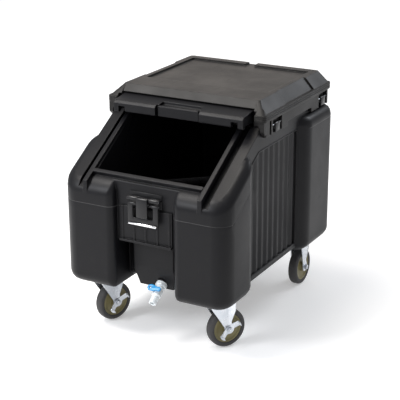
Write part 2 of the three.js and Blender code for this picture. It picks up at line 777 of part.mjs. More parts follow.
// Ribbed plate behind the latch, with a lip along its foot.
const makeRibPlate = () => {
  const face = recessWall - ribPlateThickness;
  let plate = solid(alongX(outline([
    [recessWall, ribPlateBottom],
    [recessWall, ribPlateTop],
    [face, ribPlateTop],
    [face, ribPlateBottom + ribPlateLipHeight],
    [recessWall - ribPlateLipReach, ribPlateBottom + ribPlateLipHeight],
    [recessWall - ribPlateLipReach, ribPlateBottom]]), -ribPlateHalfWidth, ribPlateHalfWidth));
  const pitch = 2 * (ribPlateHalfWidth - ribWidth) / (ribCount - 1);
  for (let rib = 0; rib < ribCount; rib += 1) {
    const x = -ribPlateHalfWidth + ribWidth + rib * pitch;
    plate = plate.add(solid(alongZ(outline([
      [x - ribWidth / 2, face + ribPlateThickness / 2],
      [x - ribWidth / 2 + ribRise / 2, face - ribRise],
      [x + ribWidth / 2 - ribRise / 2, face - ribRise],
      [x + ribWidth / 2, face + ribPlateThickness / 2]]),
    ribPlateBottom + ribPlateLipHeight / 2, ribPlateTop)));
  }
  return plate;
};
place(group, 'rib_plate', makeRibPlate(), materials.shell);

// Latch bracket, hinge pins, window lever with its bright pull bar, and hanging tongue.
const latchY = recessWall - latchKnuckleY;
const knuckle = (radius, low, high, z) => rodAlongX(radius, low, high, pinSteps, latchY, z);
const makeLatchBracket = () => {
  let bracket = solid(alongX(rectangle(
    recessWall - latchPlateThickness, latchPlateBottom, recessWall, latchPlateTop),
  -latchHalfWidth, latchHalfWidth));
  for (const [, side] of sides) {
    const inner = side * (tongueHalfWidth + runGap);
    const outer = side * latchHalfWidth;
    const ear = side * (tongueHalfWidth + runGap + latchEarWidth);
    const upper = [Math.min(inner, outer), Math.max(inner, outer)];
    const lower = [Math.min(inner, ear), Math.max(inner, ear)];
    bracket = bracket.add(join(
      knuckle(latchUpperKnuckleRadius, ...upper, latchUpperPinHeight),
      alongX(rectangle(latchY, latchUpperPinHeight - latchPinRadius, recessWall - latchPlateThickness / 2,
        latchUpperPinHeight + latchPinRadius), ...upper),
      knuckle(latchLowerKnuckleRadius, ...lower, latchLowerPinHeight),
      alongX(rectangle(latchY, latchLowerPinHeight - latchPinRadius, recessWall - latchPlateThickness / 2,
        latchLowerPinHeight + latchPinRadius), ...lower)));
  }
  const reach = latchHalfWidth + cutOver;
  return bracket
    .subtract(solid(knuckle(latchPinRadius + seatGap, -reach, reach, latchUpperPinHeight)))
    .subtract(solid(knuckle(latchPinRadius + seatGap, -reach, reach, latchLowerPinHeight)));
};
place(group, 'latch_bracket', makeLatchBracket(), materials.nylon);
place(group, 'latch_tongue_pin',
  knuckle(latchPinRadius, -latchHalfWidth, latchHalfWidth, latchUpperPinHeight),
  materials.zinc);
place(group, 'latch_lever_pin', knuckle(latchPinRadius, -leverHalfWidth, leverHalfWidth, latchLowerPinHeight),
  materials.zinc);

const leverFace = latchY - latchLowerKnuckleRadius;
const makeLatchLever = () => {
  const window = leverHalfWidth - leverLegWidth;
  const sheet = outline([
    [-leverHalfWidth, leverFoot],
    [leverHalfWidth, leverFoot],
    [leverHalfWidth, latchLowerPinHeight],
    [window, latchLowerPinHeight],
    [window, leverFoot + leverBarHeight, leverBarHeight / 2],
    [-window, leverFoot + leverBarHeight, leverBarHeight / 2],
    [-window, latchLowerPinHeight],
    [-leverHalfWidth, latchLowerPinHeight]]);
  let lever = solid(alongY(sheet, leverFace, leverFace + leverSheet));
  const eye = tongueHalfWidth + latchEarWidth + 2 * runGap;
  for (const [, side] of sides) {
    const span = [Math.min(side * eye, side * leverHalfWidth), Math.max(side * eye, side * leverHalfWidth)];
    lever = lever.add(solid(knuckle(latchLowerKnuckleRadius, ...span, latchLowerPinHeight)));
  }
  const reach = leverHalfWidth + cutOver;
  return lever.subtract(solid(knuckle(latchPinRadius + seatGap, -reach, reach, latchLowerPinHeight)));
};
place(group, 'latch_lever', makeLatchLever(), materials.nylon);
place(group, 'latch_pull_bar', rodAlongX(pullBarRadius, -pullBarHalfLength, pullBarHalfLength, pinSteps,
  leverFace - pullBarReach, leverFoot - pullBarRadius - seatGap), materials.chrome);

const makeLatchTongue = () => {
  const face = latchY - latchUpperKnuckleRadius;
  const strap = outline([
    [face - tongueThickness, tongueFoot, tongueThickness / 2],
    [face, tongueFoot],
    [face, latchUpperPinHeight - latchUpperKnuckleRadius],
    [latchY, latchUpperPinHeight - latchUpperKnuckleRadius],
    [latchY, latchUpperPinHeight + latchUpperKnuckleRadius],
    [face - tongueThickness, latchUpperPinHeight + latchUpperKnuckleRadius, latchUpperKnuckleRadius]]);
  const reach = tongueHalfWidth + cutOver;
  return join(alongX(strap, -tongueHalfWidth, tongueHalfWidth),
    knuckle(latchUpperKnuckleRadius, -tongueHalfWidth, tongueHalfWidth, latchUpperPinHeight))
    .subtract(solid(knuckle(latchPinRadius + seatGap, -reach, reach, latchUpperPinHeight)));
};
place(group, 'latch_tongue', makeLatchTongue(), materials.nylon);

// Cover frame: flange, ledge on the deck and skirt, open at the front for the lid.
const coverPlan = (half, frontEdge, backEdge, radius) => rectangle(-half, frontEdge, half, backEdge, radius);
const lidBay = (low, high) => join(
  alongZ(rectangle(-lidBayHalfWidth, coverFront - cutOver, lidBayHalfWidth, lidBayBack), low, high),
  alongZ(rectangle(-pillarInner, coverFront - cutOver, pillarInner, coverFront + pillarDepth), low, high));
const frameInset = coverHalfWidth - frameHalfWidth;
const makeCoverFrame = () => {
  const ledgeBottom = deckHeight + seatGap;
  const skirtInner = panelX + skirtGap;
  const skirtBack = deckBack + skirtGap;
  const flange = alongZ(coverPlan(coverHalfWidth, coverFront, coverBack, coverCornerRadius),
    flangeBottom, flangeSplit);
  const ledge = alongZ(coverPlan(frameHalfWidth, coverFront + frameInset / 2, coverBack - frameInset / 2,
    coverCornerRadius - frameInset), ledgeBottom, flangeBottom + frameInset / 2);
  const skirt = solid(alongZ(coverPlan(frameHalfWidth, coverFront + pillarDepth, coverBack - frameInset / 2,
    coverCornerRadius - frameInset), skirtDeepBottom, flangeBottom))
    .subtract(solid(alongZ(rectangle(-skirtInner, coverFront, skirtInner, skirtBack),
      skirtDeepBottom - cutOver, ledgeBottom)));
  let frame = join(flange, ledge).add(skirt).subtract(lidBay(skirtDeepBottom - cutOver, flangeTop));
  const lift = (low, high, bottom) => alongZ(rectangle(
    -coverHalfWidth - cutOver, low, coverHalfWidth + cutOver, high), skirtDeepBottom - cutOver, bottom);
  frame = frame
    .subtract(solid(lift(skirtStep, rearPocketFront - rearBlockLength, skirtShallowBottom)))
    .subtract(solid(alongZ(rectangle(-pillarInner, deckBack, pillarInner, coverBack + cutOver),
      skirtDeepBottom - cutOver, skirtShallowBottom)));
  const frontCut = coverFront + frameInset / 2;
  const corner = solid(alongX(outline([
    [frontCut - cutOver, skirtDeepBottom - cutOver],
    [frontCut + skirtCut, skirtDeepBottom - cutOver],
    [frontCut + skirtCut, footBottom],
    [frontCut, footBottom + skirtCut],
    [frontCut - cutOver, footBottom + skirtCut]]), -coverHalfWidth, coverHalfWidth));
  for (const [, side] of sides) {
    const taper = outline([
      [side * (pillarInner - cutOver), flangeBottom],
      [side * pillarInner, flangeBottom],
      [side * skirtInner, ledgeBottom],
      [side * (pillarInner - cutOver), ledgeBottom - cutOver]]);
    frame = frame.subtract(solid(alongY(taper, coverFront - cutOver, coverFront + pillarDepth)));
    const foot = outline([
      [side * pillarInner, flangeBottom],
      [side * skirtInner, ledgeBottom],
      [side * footInner, footBottom],
      [side * (frameHalfWidth + frameInset / 2), footBottom, frameInset],
      [side * (frameHalfWidth + frameInset / 2), flangeBottom]]);
    frame = frame.add(solid(alongY(foot, frontCut, coverFront + pillarDepth)).subtract(corner));
    const far = side * (coverHalfWidth + cutOver);
    const wall = side * skirtInner;
    const [low, high] = [Math.min(far, wall), Math.max(far, wall)];
    frame = frame.subtract(solid(alongZ(rectangle(low, slotFront, high, slotFront + slotWidth),
      skirtDeepBottom - cutOver, flangeBottom)));
    for (const y of [pocketFront, rearPocketFront]) {
      const middle = y + pocketWidth / 2;
      frame = frame.subtract(solid(alongZ(rectangle(low, y, high, y + pocketWidth),
        skirtDeepBottom - cutOver, pocketTop)));
      frame = frame.subtract(solid(rodAlongY(clipPinRadius + seatGap, middle - pocketWidth / 2 - clipPinBite,
        middle + pocketWidth / 2 + clipPinBite, pinSteps, side * clipPinX, clipPinHeight)));
    }
  }
  return frame;
};
place(group, 'cover_frame', makeCoverFrame(), materials.cover);

// Cover clips, each on its own pin across a skirt pocket, with its toe under the catch.
const makeClip = (side, y) => {
  const outer = clipPinX + clipHeadRadius;
  const bar = outline([
    [side * outer, clipPinHeight],
    [side * outer, clipFoot, clipToe],
    [side * (panelX + runGap * 2), clipFoot],
    [side * (panelX + runGap * 2), catchBottom - runGap],
    [side * (outer - clipBarThickness), catchBottom - runGap],
    [side * (outer - clipBarThickness), clipPinHeight]]);
  const low = y - clipWidth / 2;
  const high = y + clipWidth / 2;
  return join(alongY(bar, low, high),
    rodAlongY(clipHeadRadius, low, high, pinSteps, side * clipPinX, clipPinHeight))
    .subtract(solid(rodAlongY(clipPinRadius + seatGap, low - cutOver, high + cutOver, pinSteps,
      side * clipPinX, clipPinHeight)));
};
for (const [sideName, side] of sides) {
  for (const [endName, y] of clipPlaces) {
    const bite = pocketWidth / 2 + clipPinBite - seatGap;
    place(group, `clip_${endName}_${sideName}`, makeClip(side, y), materials.nylon);
    place(group, `clip_pin_${endName}_${sideName}`, rodAlongY(clipPinRadius, y - bite, y + bite, pinSteps,
      side * clipPinX, clipPinHeight), materials.zinc);
  }
}

// Cover top: flange and chamfered slab with a sunk tray, stepped sides and an open rim at the back.
const makeCoverTop = () => {
  const flange = alongZ(coverPlan(coverHalfWidth, coverFront, coverBack, coverCornerRadius),
    flangeSplit + seatGap, flangeTop);
  const ringAt = (shape, z) => shape.getPoints().map(({ x, y }) => [x, y, z]);
  const slab = skin([
    ringAt(coverPlan(topBaseHalfWidth, topBaseFront, topBaseBack, topCornerRadius), flangeTop),
    ringAt(coverPlan(topHalfWidth, topFront, topBack, topCornerRadius), coverHeight)]);
  let top = join(flange, slab).subtract(lidBay(flangeSplit - cutOver, topSlabBottom));
  const sideSlope = (topBaseHalfWidth - topHalfWidth) / (coverHeight - flangeTop);
  const face = outline([
    [coverFront - cutOver, flangeBottom],
    [topFaceFoot + (topFaceFootHeight - topSlabBottom), flangeBottom],
    [topFaceFoot + (topFaceFootHeight - topSlabBottom), topSlabBottom],
    [topFaceFoot, topFaceFootHeight],
    [topFront, coverHeight],
    [topFront, coverHeight + cutOver],
    [coverFront - cutOver, coverHeight + cutOver]]);
  top = top.subtract(solid(alongX(face, -topFaceHalfWidth, topFaceHalfWidth)));
  const sections = [
    [topBaseFront + pillarDepth, sideStepFront, sideInsetFront],
    [sideStepFront, sideStepBack, sideInsetMiddle]];
  for (const [, side] of sides) {
    for (const [low, high, inset] of sections) {
      const chamferAt = (z) => side * (topBaseHalfWidth - (z - flangeTop) * sideSlope - inset);
      const above = coverHeight + cutOver;
      top = top.subtract(solid(alongY(outline([
        [chamferAt(flangeTop), flangeTop],
        [side * (coverHalfWidth + cutOver), flangeTop],
        [side * (coverHalfWidth + cutOver), above],
        [chamferAt(above), above]]), low, high)));
    }
  }
  const trayFloor = coverHeight - trayDepth;
  return top
    .subtract(solid(alongZ(rectangle(-trayHalfWidth, trayFront, trayHalfWidth, trayBack, rimRadius),
      trayFloor, coverHeight + cutOver)))
    .subtract(solid(alongZ(rectangle(-rimGapHalfWidth, trayBack - cutOver, rimGapHalfWidth,
      coverBack + cutOver), trayFloor, coverHeight + cutOver)));
};
place(group, 'cover_top', makeCoverTop(), materials.cover);

// Sliding lid: crowned front edge, hand grip in the middle, notches over the rails and end tabs.
const makeLid = () => {
  const profile = outline([
    [lidFront, lidLipBottom, lidEdgeRadius],
    [lidFront, lidFrontTop - lidBevel, lidBevelRadius],
    [lidFront + lidBevel, lidFrontTop, lidBevelRadius],
    [lidFront + lidCrownRun, lidTop, lidEdgeRadius],
    [lidBack, lidTop, lidEdgeRadius],
    [lidBack, lidBottom],
    [lidFront + lidLipDepth, lidBottom],
    [lidFront + lidLipDepth, lidLipBottom]]);
  let lid = solid(alongX(profile, -lidHalfWidth, lidHalfWidth));
  const ahead = lidFront - cutOver;
  for (const [, side] of sides) {
    const middle = side * (wellHalfWidth + railWidth / 2);
    lid = lid.subtract(solid(alongZ(rectangle(middle - lidNotchHalf, ahead, middle + lidNotchHalf,
      lidFront + lidLipDepth + cutOver), lidLipBottom - cutOver, lidNotchTop)));
    const tabInner = middle + side * lidNotchHalf;
    const tabOuter = side * lidHalfWidth;
    lid = lid.add(solid(alongX(outline([
      [lidFront, lidNotchTop],
      [lidFront, lidLipBottom - lidTabDrop, lidEdgeRadius],
      [lidFront + lidLipDepth, lidLipBottom - lidTabDrop, lidEdgeRadius],
      [lidFront + lidLipDepth, lidNotchTop]]), Math.min(tabInner, tabOuter), Math.max(tabInner, tabOuter))));
    const slotInner = side * gripHalfWidth;
    const slotOuter = side * (gripHalfWidth + gripSlot);
    lid = lid.subtract(solid(alongZ(rectangle(Math.min(slotInner, slotOuter), ahead,
      Math.max(slotInner, slotOuter), lidFront + lidLipDepth), lidLipBottom - cutOver, lidTop + cutOver)));
  }
  const grip = outline([
    [ahead, lidFrontTop - gripDrop],
    [lidFront + gripSetback + gripLip, lidFrontTop - gripDrop],
    [lidFront + gripSetback + gripLip + gripDrop, gripFloor],
    [lidFront + gripDepth, lidFrontTop - gripRearDrop],
    [lidFront + gripDepth + gripDrop, lidTop + cutOver],
    [ahead, lidTop + cutOver]]);
  return lid
    .subtract(solid(alongX(grip, -gripHalfWidth, gripHalfWidth)))
    .subtract(solid(alongZ(rectangle(-gripHalfWidth, ahead, gripHalfWidth, lidFront + gripSetback),
      lidLipBottom - cutOver, lidTop + cutOver)));
};
const lidGroup = new THREE.Group();
group.add(lidGroup);
place(lidGroup, 'sliding_lid', makeLid(), materials.shell);

// Glides under the lid's back corners, outboard of the rails.
for (const [name, side] of sides) {
  const inner = side * (wellHalfWidth + railWidth + slideGap);
  const outer = side * Math.min(lidHalfWidth, wellHalfWidth + railWidth + slideGap + glideWidth);
  place(lidGroup, `lid_glide_${name}`, alongZ(rectangle(Math.min(inner, outer), lidBack - glideLength,
    Math.max(inner, outer), lidBack, slideGap * 5), lidBottom - glideHeight, lidBottom - seatGap),
  materials.nylon);
}

// Drain tap: gasket, valve body with its ball, stem and lever, and the nut inside the sump.
const tapGroup = new THREE.Group();
tapGroup.position.copy(tapSeat);
tapGroup.quaternion.copy(tapTurn);
group.add(tapGroup);
const gasketFace = seatGap + tapGasketThickness;
const collarStart = gasketFace + seatGap;
const bodyStart = collarStart + tapCollarLength;
const bodyEnd = bodyStart + tapBodyLength;
const tapEnd = bodyEnd + tapNeckLength + tapOutletLength;
const ballAt = bodyStart + tapBallRun;
place(tapGroup, 'tap_gasket', turned([
  [tapShankRadius + runGap, seatGap], [tapGasketRadius, seatGap],
  [tapGasketRadius, gasketFace], [tapShankRadius + runGap, gasketFace]], pinSteps * 2), materials.gasket);

const makeTapBody = () => {
  const shell = turned([
    [0, -tapShankLength], [tapShankRadius, -tapShankLength], [tapShankRadius, collarStart],
    [tapCollarRadius, collarStart], [tapCollarRadius, bodyStart - seatGap * 6],
    [tapCollarRadius - seatGap * 6, bodyStart], [tapBodyRadius, bodyStart], [tapBodyRadius, bodyEnd],
    [tapOutletRadius, bodyEnd + tapNeckLength], [tapOutletRadius, tapEnd], [0, tapEnd]], pinSteps * 2);
  const cavity = tapBallRadius + 2 * runGap;
  const stem = tapStemRadius + runGap;
  return solid(shell)
    .subtract(solid(rod(tapBoreRadius, -tapShankLength - cutOver, tapEnd + cutOver, pinSteps)))
    .subtract(solid(new THREE.SphereGeometry(cavity, pinSteps, pinSteps / 2).translate(0, 0, ballAt)))
    .subtract(solid(rodAlongY(stem, 0, tapBodyRadius + cutOver, pinSteps, 0, ballAt)));
};
place(tapGroup, 'tap_body', makeTapBody(), materials.tap);
place(tapGroup, 'tap_nut', hexNut(tapNutRadius, tapShankRadius + runGap,
  -tapWall - tapNutThickness, -tapWall - seatGap), materials.tap);
place(tapGroup, 'tap_ball', join(
  new THREE.SphereGeometry(tapBallRadius, pinSteps, pinSteps / 2).translate(0, 0, ballAt),
  rodAlongY(tapStemRadius, 0, tapLeverHeight - seatGap, pinSteps, 0, ballAt))
  .subtract(solid(rodAlongX(tapBoreRadius, -tapBallRadius - cutOver, tapBallRadius + cutOver, pinSteps,
    0, ballAt))), materials.tap);

const makeTapLever = () => {
  const lobe = tapLobeReach - tapLobeRadius;
  const blade = outline([
    [-tapLobeReach, ballAt - tapLobeRadius, tapLobeRadius],
    [tapLobeRadius - lobe, ballAt - tapLobeRadius, tapLobeRadius],
    [0, ballAt - tapWaistRadius, tapWaistRadius],
    [tapTipReach, ballAt - tapWaistRadius, tapTipRadius],
    [tapTipReach, ballAt + tapWaistRadius, tapTipRadius],
    [0, ballAt + tapWaistRadius, tapWaistRadius],
    [tapLobeRadius - lobe, ballAt + tapLobeRadius, tapLobeRadius],
    [-tapLobeReach, ballAt + tapLobeRadius, tapLobeRadius]]);
  const low = tapLeverHeight;
  const high = tapLeverHeight + tapLeverThickness;
  return solid(alongY(blade, low, high))
    .subtract(solid(rodAlongY(tapLeverHoleRadius, low - cutOver, high + cutOver, pinSteps, -lobe, ballAt)));
};
place(tapGroup, 'tap_lever', makeTapLever(), materials.tapLever);

// Wheel parts, turned round the X axis at the caster's axle.
const makeTyre = () => turned([
  [hubRadius + seatGap, -hubRimHalfWidth], [hubRadius + hubRimThickness * 2, -tyreHalfWidth],
  [wheelRadius - hubRimThickness, -tyreHalfWidth + hubRimThickness / 2],
  [wheelRadius - hubRimThickness / 8, -tyreHalfWidth / 2], [wheelRadius, 0],
  [wheelRadius - hubRimThickness / 8, tyreHalfWidth / 2],
  [wheelRadius - hubRimThickness, tyreHalfWidth - hubRimThickness / 2],
  [hubRadius + hubRimThickness * 2, tyreHalfWidth], [hubRadius + seatGap, hubRimHalfWidth]], roundSteps);
const makeHub = () => {
  const bore = sleeveRadius + runGap;
  const rim = hubRadius - hubRimThickness;
  const half = [
    [bore, hubBossHalf], [hubBossRadius, hubBossHalf], [hubBossRadius + hubWebHalf / 2, hubWebHalf],
    [rim - hubWebHalf, hubWebHalf], [rim, hubRimHalfWidth], [hubRadius, hubRimHalfWidth]];
  return turned([...half.map(([radius, x]) => [radius, -x]), ...half.reverse()], roundSteps);
};
const aboutAxle = (geometry, y) => geometry.rotateY(Math.PI / 2).translate(0, y, wheelRadius);

// Fork: crown plate and two tapered legs with axle eyes; a rigid one has its own top plate.
const legOutline = (axleY, headFront, headBack) => outline([
  [headFront, forkTop],
  [headFront, forkTop - forkSheet * 2, forkWaist],
  [axleY - forkEyeRadius, wheelRadius + forkEyeRadius / 2, forkEyeRadius],
  [axleY - forkEyeRadius, wheelRadius - forkEyeRadius, forkEyeRadius],
  [axleY + forkEyeRadius, wheelRadius - forkEyeRadius, forkEyeRadius],
  [axleY + forkEyeRadius, wheelRadius + forkWaist],
  [axleY + forkWaist, forkWaistHeight, forkWaist],
  [headBack, forkTop - forkHeadDrop, forkWaist],
  [headBack, forkTop]]);
const makeFork = (axleY, headFront, headBack, crown) => {
  const outer = forkInner + forkSheet;
  let fork = crown;
  for (const [, side] of sides) {
    const low = side > 0 ? forkInner : -outer;
    fork = fork.add(solid(alongX(legOutline(axleY, headFront, headBack), low, low + forkSheet)));
  }
  return fork.subtract(solid(rodAlongX(axleRadius + seatGap, -outer - cutOver, outer + cutOver, pinSteps,
    axleY, wheelRadius)));
};
const plateShape = () => rectangle(-plateWidth / 2, -plateLength / 2, plateWidth / 2, plateLength / 2,
  plateCornerRadius);

// Axle set and wheel, shared by all four casters.
const addWheel = (parent, name, axleY, nutSeat) => {
  const outer = forkInner + forkSheet;
  place(parent, `wheel_tyre_${name}`, aboutAxle(makeTyre(), axleY), materials.rubber);
  place(parent, `wheel_hub_${name}`, aboutAxle(makeHub(), axleY), materials.hub);
  place(parent, `axle_sleeve_${name}`, aboutAxle(turned([
    [axleRadius + seatGap, -forkInner + seatGap], [sleeveRadius, -forkInner + seatGap],
    [sleeveRadius, forkInner - seatGap], [axleRadius + seatGap, forkInner - seatGap]], pinSteps), axleY),
  materials.zinc);
  const head = -outer - seatGap;
  place(parent, `axle_bolt_${name}`, join(
    aboutAxle(rod(axleRadius, head - boltHeadHeight / 2, nutSeat + nutHeight + seatGap * 4, pinSteps), axleY),
    aboutAxle(rod(boltHeadRadius, head - boltHeadHeight, head, boltSteps), axleY)), materials.zinc);
  place(parent, `axle_nut_${name}`, aboutAxle(hexNut(boltHeadRadius, axleRadius + seatGap,
    nutSeat, nutSeat + nutHeight), axleY), materials.zinc);
};

// Toe brake lever on the outer end of the axle, with a tab bent out at each end.
const makeBrakeLever = () => {
  const low = forkInner + forkSheet + seatGap;
  const lever = outline([
    [-brakeReach, -brakeHalfWidth, brakeHalfWidth / 2],
    [-brakeEyeRadius, -brakeHalfWidth],
    [0, -brakeEyeRadius, brakeEyeRadius],
    [brakeEyeRadius, -brakeHalfWidth],
    [brakeReach, -brakeHalfWidth, brakeHalfWidth / 2],
    [brakeReach, brakeHalfWidth, brakeHalfWidth / 2],
    [brakeEyeRadius, brakeHalfWidth],
    [0, brakeEyeRadius, brakeEyeRadius],
    [-brakeEyeRadius, brakeHalfWidth],
    [-brakeReach, brakeHalfWidth, brakeHalfWidth / 2]]);
  const tab = (end) => alongX(rectangle(
    end > 0 ? brakeReach - brakeSheet : -brakeReach, -brakeHalfWidth + brakeSheet,
    end > 0 ? brakeReach : -brakeReach + brakeSheet, brakeHalfWidth - brakeSheet),
  low + brakeSheet / 2, low + brakeSheet + brakeTab);
  return geometryOf(join(alongX(lever, low, low + brakeSheet), tab(-1), tab(1))
    .subtract(solid(rodAlongX(axleRadius + seatGap, low - cutOver, low + cutOver, pinSteps, 0, 0))))
    .rotateX(THREE.MathUtils.degToRad(brakeAngle));
};

const addSwivelCaster = (name, side, turn) => {
  const caster = new THREE.Group();
  caster.position.set(side * swivelX, swivelY, 0);
  group.add(caster);
  place(caster, `caster_plate_${name}`, join(
    alongZ(plateShape(), casterHeight - plateThickness, casterHeight),
    turned([[0, kingPinFoot], [kingPinRadius, kingPinFoot], [kingPinRadius, raceBottom],
      [raceRadius - hubRimThickness, raceBottom], [raceRadius, raceBottom + hubRimThickness],
      [raceRadius, casterHeight - plateThickness / 2], [0, casterHeight - plateThickness / 2]], raceSteps)),
  materials.zinc);
  const swivel = new THREE.Group();
  swivel.rotation.z = THREE.MathUtils.degToRad(turn);
  caster.add(swivel);
  const outer = forkInner + forkSheet;
  const crown = join(
    turned([[kingPinRadius + runGap, forkTop - forkSheet],
      [raceRimRadius + raceRimSheet, forkTop - forkSheet],
      [raceRimRadius + raceRimSheet, raceRimTop], [raceRimRadius, raceRimTop], [raceRimRadius, forkTop],
      [kingPinRadius + runGap, forkTop]], raceSteps),
    alongZ(rectangle(-outer, forkHeadFront, outer, crownBack), forkTop - forkSheet, forkTop))
    .subtract(solid(rod(kingPinRadius + runGap, forkTop - forkSheet - cutOver, forkTop + cutOver,
      raceSteps)));
  place(swivel, `caster_fork_${name}`, makeFork(trail, forkHeadFront, forkHeadBack, crown), materials.zinc);
  place(swivel, `king_nut_${name}`, hexNut(kingNutRadius, kingPinRadius + seatGap,
    kingPinFoot, forkTop - forkSheet - runGap), materials.zinc);
  addWheel(swivel, name, trail, outer + brakeSheet + 2 * seatGap);
  const brake = place(swivel, `brake_lever_${name}`, makeBrakeLever(), materials.zinc);
  brake.position.set(0, trail, wheelRadius);
};

const addRigidCaster = (name, side) => {
  const caster = new THREE.Group();
  caster.position.set(side * rigidX, rigidY, 0);
  group.add(caster);
  const outer = forkInner + forkSheet;
  const crown = join(
    alongZ(plateShape(), casterHeight - plateThickness, casterHeight),
    alongZ(rectangle(-outer, -rigidHeadHalf, outer, rigidHeadHalf), forkTop - forkSheet,
      casterHeight - plateThickness / 2));
  place(caster, `caster_fork_${name}`, makeFork(0, -rigidHeadHalf, rigidHeadHalf, crown), materials.zinc);
  addWheel(caster, name, 0, outer + seatGap);
};

addSwivelCaster('front_left', -1, leftSwivelAngle);
addSwivelCaster('front_right', 1, rightSwivelAngle);
addRigidCaster('rear_left', -1);
addRigidCaster('rear_right', 1);

export default group;
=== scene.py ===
# Mobile ice bin: the looks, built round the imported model. Metres, +X right, -Y front, +Z up.
import json
import math

import bmesh
import bpy
from mathutils import Matrix, Vector


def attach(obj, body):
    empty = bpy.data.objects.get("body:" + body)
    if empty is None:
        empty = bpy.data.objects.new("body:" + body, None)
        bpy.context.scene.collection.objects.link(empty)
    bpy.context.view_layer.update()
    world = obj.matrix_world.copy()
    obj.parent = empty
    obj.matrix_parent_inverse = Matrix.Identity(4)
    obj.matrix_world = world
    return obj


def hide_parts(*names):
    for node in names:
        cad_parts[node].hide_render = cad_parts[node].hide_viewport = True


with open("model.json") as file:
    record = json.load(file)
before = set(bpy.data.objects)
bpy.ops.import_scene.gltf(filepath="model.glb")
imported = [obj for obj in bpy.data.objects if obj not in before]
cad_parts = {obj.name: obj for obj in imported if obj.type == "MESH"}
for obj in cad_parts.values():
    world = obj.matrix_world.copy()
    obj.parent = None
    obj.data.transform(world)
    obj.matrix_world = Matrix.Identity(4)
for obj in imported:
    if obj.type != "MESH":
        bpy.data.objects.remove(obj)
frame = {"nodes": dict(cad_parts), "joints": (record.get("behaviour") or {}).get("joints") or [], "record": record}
nodes = frame["nodes"]
joints = {joint["name"]: joint for joint in frame["joints"]}
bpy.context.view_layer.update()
bodyOf = {node: body for body, members in frame["record"]["behaviour"]["bodies"].items() for node in members}
sides = {"left": -1, "right": 1}
print("frame loaded:", len(nodes), "nodes")


# Camera, fitted to the corners of the tub and the casters
camera = {
    "place": (1.8053, -3.3010, 1.6966),
    "look": (-0.4554, 0.8249, -0.3350),
    "roll": -0.19,
    "lens": 108.6,
    "sensor": 36,
    "farEnd": 50,
}


def makeCamera():
    data = bpy.data.cameras.new("camera")
    data.lens = camera["lens"]
    data.sensor_width = camera["sensor"]
    data.clip_end = camera["farEnd"]
    view = bpy.data.objects.new("camera", data)
    bpy.context.scene.collection.objects.link(view)
    look = Vector(camera["look"]).normalized()
    right = look.cross(Vector((0, 0, 1))).normalized()
    up = right.cross(look)
    turn = math.radians(camera["roll"])
    across = right * math.cos(turn) + up * math.sin(turn)
    upward = up * math.cos(turn) - right * math.sin(turn)
    place = Matrix((across, upward, -look)).transposed().to_4x4()
    place.translation = Vector(camera["place"])
    view.matrix_world = place
    bpy.context.scene.camera = view


makeCamera()


# Studio: a pale floor that glows white far behind the bin, a white room and soft lamps
studio = {
    "floorSize": 40,
    "floorColour": (0.90, 0.90, 0.90),
    "floorPale": 1.01,
    "floorRough": 0.9,
    "floorGlow": 0.30,
    "away": (-0.483, 0.875, 0),  # level, and away from the camera
    "farSpan": (0.5, 2.2),  # metres that way between which the glow grows
    "farGlow": (1.75, 1.75, 1.75),
    "roomColour": (0.96, 0.97, 1.0),
    "roomLight": 0.52,
    "lamps": [
        {"name": "frontHigh", "place": (-1.1, -1.15, 2.6), "aim": (0, -0.2, 0.5), "size": 0.8, "power": 50,
         "colour": (1.0, 0.97, 0.94)},
        {"name": "overhead", "place": (-0.35, 0.0, 2.6), "aim": (0, -0.2, 0.5), "size": 0.8, "power": 26,
         "colour": (1.0, 0.95, 0.88)},
        {"name": "behindLeft", "place": (-1.9, 3.4, 1.9), "aim": (0, 0, 0.6), "size": 1.4, "power": 5,
         "colour": (1.0, 0.84, 0.70)},
        {"name": "behindRight", "place": (1.2, 2.2, 2.1), "aim": (0.2, -0.1, 0.7), "size": 0.8, "power": 20,
         "colour": (0.90, 0.94, 1.0)},
        {"name": "frontLeft", "place": (-1.5, -2.6, 1.9), "aim": (0, -0.2, 0.4), "size": 0.8, "power": 52,
         "colour": (0.94, 0.96, 1.0)},
    ],
}


def makeStudio():
    bpy.ops.mesh.primitive_plane_add(size=studio["floorSize"])
    floor = bpy.context.object
    floor.name = "floor"
    floor.data.materials.append(floorMaterial())
    world = bpy.data.worlds.new("room")
    world.use_nodes = True
    backdrop = world.node_tree.nodes["Background"]
    backdrop.inputs["Color"].default_value = (*studio["roomColour"], 1)
    backdrop.inputs["Strength"].default_value = studio["roomLight"]
    bpy.context.scene.world = world
    bpy.context.scene.view_settings.view_transform = "Standard"
    for lamp in studio["lamps"]:
        data = bpy.data.lights.new(lamp["name"], "AREA")
        data.size = lamp["size"]
        data.energy = lamp["power"]
        data.color = lamp["colour"]
        made = bpy.data.objects.new(lamp["name"], data)
        made.location = lamp["place"]
        aim = Vector(lamp["aim"]) - Vector(lamp["place"])
        made.rotation_euler = aim.to_track_quat("-Z", "Y").to_euler()
        bpy.context.scene.collection.objects.link(made)


